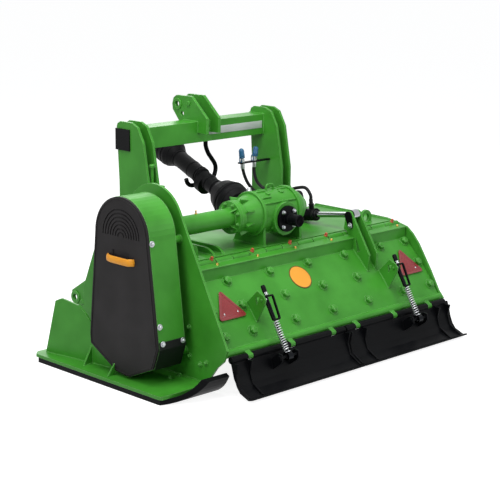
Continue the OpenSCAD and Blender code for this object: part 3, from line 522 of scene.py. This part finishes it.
def smooth(path, steps):
    """Round curve through the points of a route"""
    path = [Vector(p) for p in path]
    ends = [path[0] * 2 - path[1]] + path + [path[-1] * 2 - path[-2]]
    curve = []
    for a, b, c, d in zip(ends, ends[1:], ends[2:], ends[3:]):
        curve += [0.5 * (2 * b + (c - a) * t + (2 * a - 5 * b + 4 * c - d) * t ** 2
                         + (3 * b - a - 3 * c + d) * t ** 3)
                  for t in (k / steps for k in range(steps))]
    return curve + [path[-1]]


bail = bmesh.new()
sag = 2.2
grip = [(cover_x + 2, -246, 611), (cover_x - 6, -244, 611), (cover_x - 14, -236, 612)]
grip += [(cover_x - 18, y, 611.5 - sag * math.cos((y - pulley_y) / 95))
         for y in range(-224, -84, 14)]
grip += [(cover_x - 14, -72, 612), (cover_x - 6, -64, 611), (cover_x + 2, -62, 611)]
swept(bail, smooth(grip, 4), circle(5.5, 16, 3.1), (1, 0, 0))
made = piece("handle_bail", bail, orange_enamel, "frame")
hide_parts("cover_handle")
pocket = bmesh.new()
slab(pocket, [(-62, -25), (62, -25), (62, 25), (-62, 25)], (cover_x + 5, pulley_y, 629),
     (0, 1, 0), (0, 0, 1), 4)
piece("hand_pocket", pocket, cover_black, "frame")

# Cross tube: the drive's housing tube from the gearbox to the casing, with a flange and four
# ribs at the gearbox and a grease nipple on top. It is painted with the body.
wear(green_enamel, "cross_tube")


def on_tube(x):
    """Point of the cross tube's middle line"""
    return Vector((x, -154, 716))


neck_face = -350
seams = bmesh.new()
round_weld(seams, on_tube(neck_face), (1, 0, 0), 48, 5)
round_weld(seams, on_tube(-outer), (1, 0, 0), 49, 5)
round_weld(seams, on_tube(-inner), (1, 0, 0), 49, 5)
for k in range(4):
    out = spoke(45 + 90 * k)
    slab(seams, [(-2, -2), (30, -2), (-2, 30)], on_tube(neck_face) + out * 47, (-1, 0, 0), out, 8)
piece("tube_welds", seams, green_enamel, "frame")
nipples = bmesh.new()
turned(nipples, [(0, 0), (7, 0), (7, 5), (4, 7), (4, 14), (5, 15), (5, 18), (3, 20), (0, 20)],
       on_tube(-573) + Vector((0, 0, 47)), (0, 0, 1), 12)
piece("tube_nipple", nipples, brass, "frame")

# Bevel gearbox: a grey-iron casting painted green, on two feet welded to the deck. Sand
# moulding pebbles its skin, coarser here than real to show; its plugs and screws are zinc.
# Its edges carry the same pale painted highlight line as the body's enamel.
cast_green = painted("green_cast_iron", "#43962f", "#378424", 0.36, 4, 0.9, 0.35, shine=0.26)
wear(cast_green, "gearbox", "gearbox_feet")
wear(black_enamel, "gearbox_cap")


def on_shaft(y):
    """Point of the input shaft's middle line"""
    return Vector((-60, y, 690))


collar_face, cap_face, front_face = -308, -284, 13
casting = bmesh.new()
for k in range(8):
    out = spoke(22.5 + 45 * k)
    slab(casting, [(0, -4), (98, -4), (98, 8), (84, 8), (0, 30)], on_tube(collar_face) + out * 72,
         (1, 0, 0), out, 9, 2)
turned(casting, [(104, 0), (112, 0), (114, 3), (114, 17), (112, 20), (104, 20)], on_tube(-210),
       (1, 0, 0), 56, True)
turned(casting, [(104, 0), (113, 0), (115, 3), (115, 19), (113, 22), (104, 22)], on_tube(38),
       (1, 0, 0), 56, True)
turned(casting, [(84, 0), (93, 2), (95, 5), (95, 14), (84, 18), (60, 18), (60, 0)], on_shaft(-4),
       (0, 1, 0), 56, True)
turned(casting, [(0, 0), (46, 0), (46, 7), (42, 10), (22, 10), (20, 7), (0, 7)], on_tube(155),
       (1, 0, 0), 40)
for k in range(6):
    out = spoke(30 + 60 * k, "Y")
    slab(casting, [(0, -6), (70, -6), (70, 3), (0, 12)], on_shaft(-248) + out * 82, (0, 1, 0),
         out, 8, 2)
barrel_left, barrel_right = -186, 34
for degrees, x0, x1 in ((62, barrel_left, barrel_right), (98, barrel_left, -96),
                        (98, -24, barrel_right), (128, barrel_left, -120),
                        (146, barrel_left, barrel_right), (236, barrel_left, barrel_right),
                        (304, barrel_left, barrel_right), (20, barrel_left, barrel_right)):
    out, run = spoke(degrees), x1 - x0
    slab(casting, [(0, -6), (run, -6), (run, 6), (run - 10, 10), (10, 10), (0, 6)],
         on_tube(x0) + out * 103, (1, 0, 0), out, 9, 2)
for x, degrees in ((-120, 112), (-120, 80), (-24, 80), (-24, 112)):
    out = spoke(degrees)
    turned(casting, [(0, -8), (15, -8), (14, 6), (12, 8), (0, 8)], on_tube(x) + out * 104, out, 28)
piece("gearbox_casting", casting, cast_green, "frame", 40)
screws, painted_over = bmesh.new(), bmesh.new()
for k in range(8):
    spot = spoke(22.5 + 45 * k) * 68
    bolt(painted_over, on_tube(neck_face) + spot, (-1, 0, 0), 13, 11)
    bolt(painted_over, on_tube(collar_face) + spot, (1, 0, 0), 13, 11, 7)
for k in range(6):
    bolt(screws, on_shaft(front_face + 1) + spoke(15 + 60 * k, "Y") * 74, (0, 1, 0), 12, 8)
for k in range(4):
    bolt(screws, on_shaft(cap_face) + spoke(45 + 90 * k, "Y") * 53, (0, -1, 0), 15, 10)
for k in range(5):
    bolt(screws, on_tube(163) + spoke(36 + 72 * k) * 34, (1, 0, 0), 10, 8)
turned(screws, [(0, -6), (9, -6), (9, 8), (13, 8), (13, 14), (10, 17), (10, 24), (7, 27), (0, 27)],
       (-196, -138, 820), (0, 0, 1), 20)
bolt(screws, (-120, -158, 610), (0, 0, -1), 16)
piece("gearbox_screws", screws, zinc, "frame")
piece("gearbox_neck_screws", painted_over, cast_green, "frame")
staple = bmesh.new()
swept(staple, smooth([(-92, -154, 816), (-92, -154, 838), (-82, -154, 848), (-52, -154, 848),
                      (-42, -154, 838), (-42, -154, 816)], 5), circle(5.5, 12), (0, 1, 0))
piece("gearbox_staple", staple, cast_green, "frame")
seal = bmesh.new()
turned(seal, [(27, 0), (27, 14), (31, 16), (31, 22), (27, 24), (27, 60), (31, 62), (31, 76),
              (24, 80), (0, 80)], on_shaft(cap_face), (0, -1, 0), 40)
turned(seal, [(0, 0), (54, 0), (54, 8), (50, 11), (30, 11), (26, 7), (0, 7)],
       on_shaft(front_face), (0, 1, 0), 40)
piece("gearbox_seals", seal, black_enamel, "frame")
seams = bmesh.new()
foot_back, foot_front, foot_thick = -240, -20, 16
for x in (-190, 70):
    for side in (x, x + foot_thick):
        weld(seams, [(side, foot_back, deck), (side, foot_front, deck)], 5)
    for y in (foot_front, foot_back):
        weld(seams, [(x, y, deck), (x + foot_thick, y, deck)], 5)
piece("gearbox_foot_welds", seams, green_enamel, "frame")

# Hitch: two towers of paired plates on the deck, a square beam through their tops and the
# top link's plates on it, all welded and painted with the body.
wear(green_enamel, "tower_left", "tower_right", "cross_beam", "top_link_bracket", "lifting_eyes")
seams = bmesh.new()
tower_faces, link_faces, eye_faces = (443, 457, 505, 519), (35, 51), (-198, -182)
for x in tower_faces:
    weld(seams, [(-x, -218, deck), (-x, 330, deck), (-x, 400, 300)], 4.5)
    weld(seams, [(x, 94, deck), (x, 330, deck), (x, 400, 300)], 4.5)
beam_line = [(400, 1000), (510, 1000), (510, 1110), (400, 1110), (400, 1000)]
for s in (-1, 1):
    for x in tower_faces[:3]:
        weld(seams, [(s * x, y, z) for y, z in beam_line], 5)
    for x in link_faces:
        weld(seams, [(s * x, 400, 1050), (s * x, 400, 1110), (s * x, 510, 1110)], 5)
    eye_left, eye_right = s * 640 - 42, s * 640 + 42
    for y in eye_faces:
        weld(seams, [(eye_left, y, deck), (eye_right, y, deck)], 5)
    for x in (eye_left, eye_right):
        weld(seams, [(x, eye_faces[0], deck), (x, eye_faces[1], deck)], 5)
piece("hitch_welds", seams, green_enamel, "frame")

# Hitch bosses: turned rings welded round the pin holes, blind bosses on the plates' faces and
# the peg on its foot that a lower link's catch drops over, all under the body's green film.
tower_out, tower_in, link_out = tower_faces[-1], tower_faces[0], link_faces[-1]
lower_pin, top_pin, peg = (872, 144), (560, 1192), (-481, 275)
bosses = bmesh.new()
for s in (-1, 1):
    for x, way in ((tower_in, -s), (tower_out, s)):
        turned(bosses, [(18.8, -1), (36, -1), (36, 5), (34, 7), (18.8, 7)],
               (s * x, *lower_pin), (way, 0, 0), 40, True)
    turned(bosses, [(16.8, -1), (31, -1), (31, 4), (29, 6), (16.8, 6)],
           (s * link_out, *top_pin), (s, 0, 0), 40, True)
    turned(bosses, [(0, -1), (15, -1), (15, 6), (12, 8), (0, 8)], (s * tower_out, 816, 126),
           (s, 0, 0), 24)
    turned(bosses, [(0, -1), (13, -1), (13, 5), (11, 7), (0, 7)], (s * link_out, 472, 1201),
           (s, 0, 0), 24)
slab(bosses, [(-19, -76), (19, -76), (19, 64), (-19, 64)], (*peg, 837), (1, 0, 0), (0, 1, 0), 12)
turned(bosses, [(0, 0), (20, 0), (20, 6), (9, 8), (9, 84), (15, 86), (15, 98), (12, 101),
                (0, 101)], (*peg, 843), (0, 0, 1), 28)
piece("hitch_bosses", bosses, green_enamel, "frame")

# Stripe: a band of reflecting film stuck along the beam's rear face. Its fine beads give a
# pale silver that stays even from end to end.
silver_film = painted("reflecting_film", "#c3c8c6", "#b4bab8", 0.3, 2, 0.06, 0.0, shine=0.6)
band = bmesh.new()
slab(band, [(-200, -20), (200, -20), (200, 20), (-200, 20)], (230, 399.4, 1055), (1, 0, 0),
     (0, 0, 1), 1.6, 0.5)
piece("beam_stripe", band, silver_film, "frame")

# Beam ends: moulded polythene plugs pushed into the tube. Polythene gives a dull black with
# hardly any sheen, here and on the drive shaft's guards.
black_plastic = painted("moulded_polythene", "#0c0c0e", "#0a0a0c", 0.44, 2, 0.12, 0.0, shine=0.09)
wear(black_plastic, "beam_caps")

# Hood: a 10 mm plate rolled to a long curve, with a bar along its lower edge. Two arms for
# the cylinder and the springs' brackets are welded on; it is painted with the body.
wear(green_enamel, "hood_shell", "lift_arms", "spring_brackets")
wear(wear_plate, "hood_liners")
hood_middle = (652.7, -641.1)
hood_radius = 1500


def on_hood(x, y, up=0.0):
    """Point of the hood's rolled plate at x and y, and the way out from it"""
    z = hood_middle[1] + math.sqrt(hood_radius ** 2 - (y - hood_middle[0]) ** 2)
    out = Vector((0, y - hood_middle[0], z - hood_middle[1])).normalized()
    return Vector((x, y, z)) + out * up, out


seams = bmesh.new()
for x in (368, 380, 430, 442):
    weld(seams, [on_hood(x, -346 - 13 * k)[0] for k in range(9)], 4.5)
for x in (-520, -512, 450, 458):
    weld(seams, [on_hood(x, -455 - 14 * k)[0] for k in range(6)], 4)
weld(seams, [(-794, -345, 537), (794, -345, 537)], 4)
piece("hood_welds", seams, green_enamel, "hood")

# Liner nuts: three rows of 24 mm studs hold the wear liners under the hood. Their nuts and
# wide washers are sprayed over with it, so they carry the same green film.
nut_across, washer_r, nut_thick = 37, 28, 20
nuts = bmesh.new()
for y, row in ((-362, (-750, -565, -275, 0, 273, 562, 760)),
               (-460, (-750, -558, -262, 10, 270, 540, 761)),
               (-547, (-752, -571, -275, -5, 263, 540, 762))):
    for x in row:
        spot, out = on_hood(x, y)
        bolt(nuts, spot, out, nut_across, washer_r, nut_thick)
piece("hood_liner_nuts", nuts, green_enamel, "hood")

# Speed disc: a vinyl roundel stuck on the hood. It gives a flat, even orange inside a thin
# brown rim.
disc_sheet = painted("orange_vinyl", "#eda43a", "#e69c33", 0.4, 30, 0.05, 0.0, shine=0.3)
rim_sheet = painted("brown_vinyl", "#6b4a1e", "#5e4019", 0.4, 30, 0.05, 0.0, shine=0.3)
disc_r, rim_r = 62, 66.5
spot, out = on_hood(-100, -410)
disc = bmesh.new()
turned(disc, [(0, -2), (disc_r, -2), (disc_r, 1.6), (disc_r - 0.6, 2), (0, 2)], spot, out, 64)
piece("speed_disc", disc, disc_sheet, "hood")
rim = bmesh.new()
turned(rim, [(disc_r - 0.4, -2), (rim_r, -2), (rim_r, 1.4), (rim_r - 0.6, 1.8),
             (disc_r + 0.2, 1.8), (disc_r - 0.4, 1.4)], spot, out, 64, True)
piece("speed_disc_rim", rim, rim_sheet, "hood")

# Reflectors: moulded acrylic triangles on two rivets, each with a raised rim, plain and
# glossy. The red field is glossy too, and the prisms in it, drawn coarser than real so that
# they show, break up the light.
lens = bpy.data.materials.new("red_reflector_acrylic")
lens.use_nodes = True
tree = lens.node_tree
tree.nodes.clear()
prism_mm = 6
spread = add(tree, "ShaderNodeTexCoord").outputs["Object"]
prisms = add(tree, "ShaderNodeTexVoronoi", {"Vector": spread, "Scale": 1000 / prism_mm})
tone = add(tree, "ShaderNodeMix", {0: prisms.outputs["Distance"], 6: linear("#8f2c30"),
           7: linear("#7c1c20")}, data_type="RGBA")
bump = add(tree, "ShaderNodeBump", {"Height": prisms.outputs["Distance"], "Strength": 0.5,
           "Distance": 0.001})
shader = add(tree, "ShaderNodeBsdfPrincipled", {"Base Color": tone.outputs[2], "Roughness": 0.22,
             "IOR": 1.49, "Specular IOR Level": 0.5, "Normal": bump.outputs[0]})
add(tree, "ShaderNodeOutputMaterial", {"Surface": shader.outputs[0]})
rim_red = painted("red_reflector_rim", "#8a2226", "#7c1c20", 0.25, 12, 0.05, 0.0, shine=0.7)


def rounded(line, r, steps=5):
    """Outline with its corners rounded off, r being what is cut off each side"""
    made = []
    for k, p in enumerate(line):
        p = Vector(p)
        a = p + (Vector(line[k - 1]) - p).normalized() * r
        b = p + (Vector(line[(k + 1) % len(line)]) - p).normalized() * r
        made += [(1 - t) ** 2 * a + 2 * t * (1 - t) * p + t * t * b
                 for t in (j / steps for j in range(steps + 1))]
    return made


rim_share = 0.95
triangle = rounded([(-86, -50), (86, -50), (0, 99)], 13)
fields, rims, rivets = bmesh.new(), bmesh.new(), bmesh.new()
for x in (-649, 676):
    spot, out = on_hood(x, -463, 3)
    slope = out.cross(Vector((1, 0, 0)))
    slab(fields, triangle, spot, (1, 0, 0), slope, 7, 0.8)
    swept(rims, [spot + Vector((a * rim_share, 0, 0)) + slope * b * rim_share + out * 3
                 for a, b in triangle],
          [(6, -1.5), (6, 1.8), (4.6, 3), (-4.6, 3), (-6, 1.8), (-6, -1.5)],
          out.cross(slope), True)
    for a in (-44, 44):
        turned(rivets, [(0, 0), (5, 0), (4.4, 1.6), (2.4, 2.8), (0, 3.2)],
               spot + Vector((a, 0, 0)) - slope * 24 + out * 3.4, out, 16)
piece("reflector_fields", fields, lens, "hood")
piece("reflector_rims", rims, rim_red, "hood")
piece("reflector_rivets", rivets, zinc, "hood")

# Hood hinge: one long zinc-plated pin through knuckles that stand by turns on the deck and
# the hood. Its grease nipples wear soft caps of a dull orange, with yellow brass plugs by them.
wear(zinc, "hood_hinge_pin")
hinge = Vector((0, -280, 545))
cap_orange = painted("orange_cap_plastic", "#bb5230", "#b24a2a", 0.35, 4, 0.05, 0.0)
caps = {"frame": bmesh.new(), "hood": bmesh.new()}
plugs = bmesh.new()
knuckle_count = 7
knuckle_pitch = 2 * inner / knuckle_count
cap_out = Vector((0, -0.34, 0.94))
for x in (-593, -319, -52, 218, 480, 748):
    body = "hood" if ((x + inner) / knuckle_pitch) % 1 < 0.5 else "frame"
    turned(caps[body], [(0, -2), (10, -2), (10, 4), (8, 7), (8, 14), (6, 18), (0, 19)],
           hinge + Vector((x, 0, 0)) + cap_out * 17.5, cap_out, 16)
    turned(plugs, [(0, 0), (10, 0), (10, 4), (7, 6), (7, 10), (4.6, 13), (0, 13)],
           (x + 4, -322, 540), (0, -0.1, 1), 16)
piece("deck_nipple_caps", caps["frame"], cap_orange, "frame")
piece("hood_nipple_caps", caps["hood"], cap_orange, "hood")
piece("hood_brass_plugs", plugs, brass, "hood")
seams = bmesh.new()
for k in range(knuckle_count):
    x0, x1 = -inner + (k + 0.5) * knuckle_pitch + 5, -inner + (k + 1) * knuckle_pitch - 5
    weld(seams, [(x0, -263, deck - 6), (x1, -263, deck - 6)], 5)
piece("deck_hinge_welds", seams, green_enamel, "frame")
seams = bmesh.new()
for k in range(knuckle_count):
    x0, x1 = -inner + k * knuckle_pitch + 9, -inner + (k + 0.5) * knuckle_pitch - 5
    weld(seams, [(x0, -297, 547), (x1, -297, 547)], 4.5)
piece("hood_hinge_welds", seams, green_enamel, "hood")

# Lift cylinder: a double-acting cylinder in black enamel between a fork on the deck and the
# pin through the two arms. Hard chrome makes its rod a smooth mirror with a faint grey drift.
wear(black_enamel, "lift_barrel", "lift_pin")
wear(green_enamel, "lift_anchor")
chrome = metal("hard_chrome", "#bcbfc3", 0.08, 0.18, 1.5, 0.06)
wear(chrome, "lift_rod")
anchor = Vector((405, 130, 588))
rise = math.atan2(64, 440)
along = Vector((0, -math.cos(rise), math.sin(rise)))
above = Vector((0, math.sin(rise), math.cos(rise)))
ports, port_top = (82, 146), 57
gland = bmesh.new()
turned(gland, [(15.6, -14), (34.2, -14), (34.2, -2), (32, 0), (26, 0), (24, 5), (15.6, 5)],
       anchor + along * 180, along, 40, True)
turned(gland, [(33.2, 0), (34.6, 1.5), (34.6, 7), (33.2, 8.5)], anchor + along * 64, along, 40,
       True)
for s in ports:
    turned(gland, [(11.8, -6), (15.4, -6), (15.4, 3), (11.8, 3)],
           anchor + along * s + above * port_top, above, 6, True)
piece("cylinder_gland", gland, black_steel, "barrel")
fork_faces, fork_pin_end = (-29, -17, 17, 29), 33
seams = bmesh.new()
for a in fork_faces:
    weld(seams, [(anchor.x + a, 102, deck), (anchor.x + a, 184, deck)], 4.5)
piece("fork_welds", seams, green_enamel, "frame")
clips = bmesh.new()
for s in (-1, 1):
    turned(clips, [(0, -0.5), (13.6, -0.5), (13.6, 2), (12, 3), (0, 3)],
           anchor + Vector((s * fork_pin_end, 0, 0)), (s, 0, 0), 24)
piece("fork_pin_ends", clips, zinc, "frame")
keeper = bmesh.new()
bolt(keeper, (359.7, -327, 602), (-1, 0, 0), 17)
turned(keeper, [(0, 0), (13.4, 0), (13.4, 1.2), (11.6, 2.4), (0, 2.4)], (454, -310, 652),
       (1, 0, 0), 24)
swept(keeper, [(448, -310, 630), (448, -310, 674)], circle(2.6, 8), (1, 0, 0))
piece("keeper_bolt", keeper, zinc, "hood")

# Couplers: two hose ends parked in a rack of black flat bar, with crimped steel ferrules. Their
# moulded dust caps are a deep satin blue, and a strap ring hangs beside each.
wear(black_enamel, "coupler_rack")
blue_cap = painted("blue_cap_plastic", "#1a587f", "#164c70", 0.34, 4, 0.05, 0.0, shine=0.45)
caps, ends = bmesh.new(), bmesh.new()
for x, lean in ((240, -0.2), (330, 0.12)):
    up = Vector((lean, -0.05, 1)).normalized()
    foot = Vector((x, 357, 868))
    turned(ends, [(0, 0.4), (13.5, 0.4), (13.5, 12), (11, 14), (11, 20), (12.5, 21), (12.5, 26),
                  (9, 28), (9, 36), (0, 36)], foot, up, 6)
    turned(ends, [(9.6, -2), (12, -2), (12, -34), (11, -37), (9.6, -37)], foot, (0, 0, 1), 24,
           True)
    turned(caps, [(0, 24), (15, 24), (16, 26), (16, 31), (14.6, 32), (14.6, 36), (16, 37),
                  (16, 42), (14.8, 44), (14.8, 64), (12, 72), (6, 77), (0, 78)], foot, up, 32)
    ring_mid = foot + Vector((-19, -4, 16))
    swept(caps, [ring_mid + Vector((a, 0, b)) for a, b in circle(9, 28, 19 / 9)], circle(2.4, 8),
          (0, 1, 0), True)
made = piece("coupler_caps", caps, blue_cap, "frame")
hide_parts("couplers")
piece("coupler_ferrules", ends, zinc, "frame")

# Hoses: two lines of wire-braided rubber from the couplers to the cylinder's ports, which flex
# where the cylinder tilts. The dull black cover keeps the print of its cloth wrapping, drawn
# coarser than real to show.
hose_rubber = painted("braided_hose_rubber", "#121214", "#0e0e10", 0.46, 1.5, 0.3, 0.0, shine=0.18)


def port_at(s, up):
    """Point over a port of the cylinder, up from the port's rim"""
    return anchor + along * s + above * (port_top + up)


# Each route is a share of the way across to the cylinder, then Y and Z; each port's points
# are heights over it
hose_routes = (
    ("left", 240, [(0, 357, 859.7), (0.02, 357, 828), (0.1, 354, 785), (0.22, 342, 740),
                   (0.38, 312, 698), (0.54, 262, 678), (0.71, 205, 676), (0.85, 150, 694),
                   (0.95, 105, 716), (0.99, 74, 718)], ports[0], (38, 14, -12)),
    ("right", 330, [(0, 357, 859.7), (-0.02, 357, 820), (0.01, 350, 778), (0.12, 334, 742),
                    (0.3, 298, 716), (0.52, 240, 710), (0.72, 165, 718), (0.9, 92, 742),
                    (0.98, 36, 748)], ports[1], (50, 20, -12)))
for side, x, route, port, heights in hose_routes:
    hose = bmesh.new()
    path = [(x + share * (anchor.x - x), y, z) for share, y, z in route]
    path += [port_at(port, up) for up in heights]
    swept(hose, smooth(path, 8), circle(9, 20))
    turned(hose, [(9, 2), (10.8, 2), (10.8, 26), (9, 28)], port_at(port, 0), above, 24, True)
    made = piece("hose_line_" + side, hose, hose_rubber, None)
    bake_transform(made)
    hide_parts("hose_" + side)

# Skirts: two swinging plates below the hood, stiffened by ribs and sprayed black. Rolled eyes
# carry them on the hinge rod, and pairs of lugs take the spring rods' pins.
wear(black_enamel, "skirt_left", "skirt_right")
flap_hinge = Vector((0, -622, 172))
plate_way = Vector((0, -18, -52)).normalized()
plate_mid = plate_way * 27 + Vector((0, -3.8, 1.3))
hood_lugs, lug_room = (-665, -380, -90, 90, 380, 665), 18
lug = Vector((0, -700, 150))
for side, x, low, high in (("left", -480, -785, -5), ("right", 490, 5, 794)):
    eyes = bmesh.new()
    mids = [m for m in hood_lugs if low < m < high]
    stops = [low] + [m + s * lug_room for m in mids for s in (-1, 1)] + [high]
    for x0, x1 in zip(stops[::2], stops[1::2]):
        turned(eyes, [(8.2, 0), (15.4, 0), (17, 1.6), (17, x1 - x0 - 1.6), (15.4, x1 - x0),
                      (8.2, x1 - x0)], flap_hinge + Vector((x0, 0, 0)), (1, 0, 0), 28, True)
    for m in mids:
        slab(eyes, [(-21, -11.6), (21, -11.6), (21, 26), (-21, 26)],
             flap_hinge + plate_mid + Vector((m, 0, 0)), (1, 0, 0), plate_way, 7.6, 0.4)
    piece("skirt_eyes_" + side, eyes, black_enamel, "flap_" + side)
    ends = bmesh.new()
    for s in (-1, 1):
        turned(ends, [(0, -0.5), (12.5, -0.5), (12.5, 2), (11, 3.6), (0, 3.6)],
               lug + Vector((x + s * 60, 0, 0)), (s, 0, 0), 24)
    piece("lug_pin_ends_" + side, ends, black_enamel, "flap_" + side)
    seams = bmesh.new()
    for lug_x in (x - 60, x - 52, x + 52, x + 60):
        weld(seams, [(lug_x, -637, 129), (lug_x, -644, 108), (lug_x, -650, 88)], 3.5)
    piece("lug_welds_" + side, seams, black_enamel, "flap_" + side)

# Spring rods: a rod pinned to the skirt slides past a shackle of flat bar hung on the hood, and
# a coil spring round it presses the skirt down. Nitriding leaves the rod a smooth grey-black,
# and the drawn wire is zinc-plated and bright.
nitrided = metal("black_nitrided_steel", "#1e2023", 0.22, 0.32, 1.5, 0.1)
wear(nitrided, "push_rod_left", "push_rod_right")
spring_wire = metal("zinc_spring_wire", "#cfd1d4", 0.3, 0.45, 2, 0.2)
hanger = Vector((0, -556, 400))
rod_way = (hanger - lug).normalized()
rod_out = rod_way.cross(Vector((1, 0, 0)))
rod_length = (hanger - lug).length
loop_low, loop_top = rod_length - 110, rod_length + 18
spring_low, spring_high = 24, loop_low - 0.3
coils, coil_r, wire, coil_steps = 13, 14.3, 2.5, 16
for side, x in (("left", -480), ("right", 490)):
    foot = Vector((x, 0, 0)) + lug
    spring = bmesh.new()
    path = []
    for i in range(coils * coil_steps + 1):
        run = (spring_low + wire
               + (spring_high - spring_low - 2 * wire) * i / (coils * coil_steps))
        angle = 2 * math.pi * i / coil_steps
        path.append(foot + rod_way * run
                    + coil_r * (math.cos(angle) * Vector((1, 0, 0)) + math.sin(angle) * rod_out))
    swept(spring, path, circle(wire, 8))
    made = piece("coil_spring_" + side, spring, spring_wire, "loop_" + side)
    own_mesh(made)
    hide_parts("spring_" + side)
    shackle = bmesh.new()
    mid, half = (loop_low + loop_top) / 2, (loop_top - loop_low) / 2 - 5
    line = rounded([(32, -half), (40, half), (-15, half), (-12, -half)], 5, 3)
    swept(shackle, [foot + Vector((a, 0, 0)) + rod_way * (mid + b) for a, b in line],
          [(6, -2.8), (6, 2.8), (4.8, 4), (-4.8, 4), (-6, 2.8), (-6, -2.8), (-4.8, -4),
           (4.8, -4)], rod_out, True)
    made = piece("shackle_" + side, shackle, black_enamel, "loop_" + side)
    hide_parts("guide_" + side)
    hung = bmesh.new()
    bolt(hung, foot + Vector((-15, 0, 0)) + rod_way * rod_length, (1, 0, 0), 10, 8, 5)
    piece("shackle_nut_" + side, hung, zinc, "loop_" + side)
    knob = bmesh.new()
    turned(knob, [(0, -29), (11.6, -29), (11.6, 0), (10, 4), (6, 6.4), (0, 7)],
           foot + rod_way * (rod_length + 64), rod_way, 28)
    piece("rod_cap_" + side, knob, black_plastic, "pusher_" + side)
    stop = bmesh.new()
    turned(stop, [(0, 0), (15, 0), (15, 2.4), (9.5, 2.6), (9.5, 9), (11.5, 9.2), (11.5, 14),
                  (0, 14)], foot + rod_way * (loop_top + 1), rod_way, 28)
    turned(stop, [(0, -6), (19, -6), (19, -2.6), (16, -0.5), (0, -0.5)],
           foot + rod_way * spring_low, rod_way, 28)
    piece("rod_stop_" + side, stop, chrome, "pusher_" + side)

# Drive shaft: two telescoping guard tubes of black polythene with a flared bell over each
# joint, and a splined steel yoke in the far end. Moulded rings stiffen the bells and tubes.
wear(black_plastic, "shaft_bell", "shaft_sleeve")
wear(zinc, "shaft_yoke")
joint = on_shaft(50)
tilt, yaw = math.radians(18), math.radians(8)
shaft_way = Vector((math.cos(tilt) * math.sin(yaw), math.cos(tilt) * math.cos(yaw),
                    math.sin(tilt)))
ribs = bmesh.new()
turned(ribs, [(56, 62), (90, 62), (96.4, 66), (96.4, 71), (93, 73), (56, 73)], joint, shaft_way,
       56, True)
turned(ribs, [(60, 108), (98.6, 108), (101, 111), (101, 116), (98.2, 119), (60, 119)], joint,
       shaft_way, 56, True)
for s in (240, 300):
    turned(ribs, [(42, s), (46, s + 2), (46, s + 10), (42, s + 12)], joint, shaft_way, 40, True)
piece("bell_rings", ribs, black_plastic, "shaft")
ribs = bmesh.new()
for s in (384, 400, 606, 622):
    turned(ribs, [(45, s), (49.5, s + 2), (49.5, s + 8), (45, s + 10)], joint, shaft_way, 40, True)
flare_r, flare_start, bell_r = 46, 620, 76.6
for s, r in ((650, flare_r + (650 - flare_start) * 30 / 52), (690, bell_r), (722, bell_r)):
    turned(ribs, [(r - 6, s), (r + 3, s + 2), (r + 3, s + 7), (r - 6, s + 9)], joint, shaft_way,
           56, True)
turned(ribs, [(62, 736), (77.4, 736), (80, 739), (80, 744), (77.4, 747), (62, 747)], joint,
       shaft_way, 56, True)
turned(ribs, [(45, 470), (47.6, 470.6), (47.6, 485.4), (45, 486)], joint, shaft_way, 40, True)
piece("sleeve_rings", ribs, black_plastic, "sleeve")
splines = bmesh.new()
side_way = shaft_way.orthogonal().normalized()
spline_count, spline_start, spline_r = 6, 716, 16.6
for k in range(spline_count):
    out = Matrix.Rotation(math.radians(360 / spline_count * k), 3, shaft_way) @ side_way
    slab(splines, [(0, -3.4), (60, -3.4), (60, 3.4), (0, 3.4)],
         joint + shaft_way * spline_start + out * spline_r, shaft_way, shaft_way.cross(out), 3,
         0.5)
turned(splines, [(36, 748), (41, 750), (41, 768), (36, 770)], joint, shaft_way, 48, True)
piece("yoke_splines", splines, zinc, "yoke")

# Shaft hook: round bar bent in the fire and welded under the beam, sprayed black. The parked
# shaft lies in its crook.
hook_z = 760.6
hook = bmesh.new()
swept(hook, smooth([(56, 455, 999.7), (57, 455, 965), (74, 455, 925), (100, 455, 892),
                    (124, 455, 860), (130, 455, 830), (118, 455, 795), (88, 455, 768),
                    (50, 455, hook_z), (0, 455, hook_z), (-50, 455, hook_z), (-75, 455, 775),
                    (-86, 455, 800)], 6), circle(12, 18), (0, 1, 0))
made = piece("bent_hook", hook, black_enamel, "frame")
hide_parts("shaft_hook")

size = {"cad": cad_box, "visual": [list(corner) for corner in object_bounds()]}
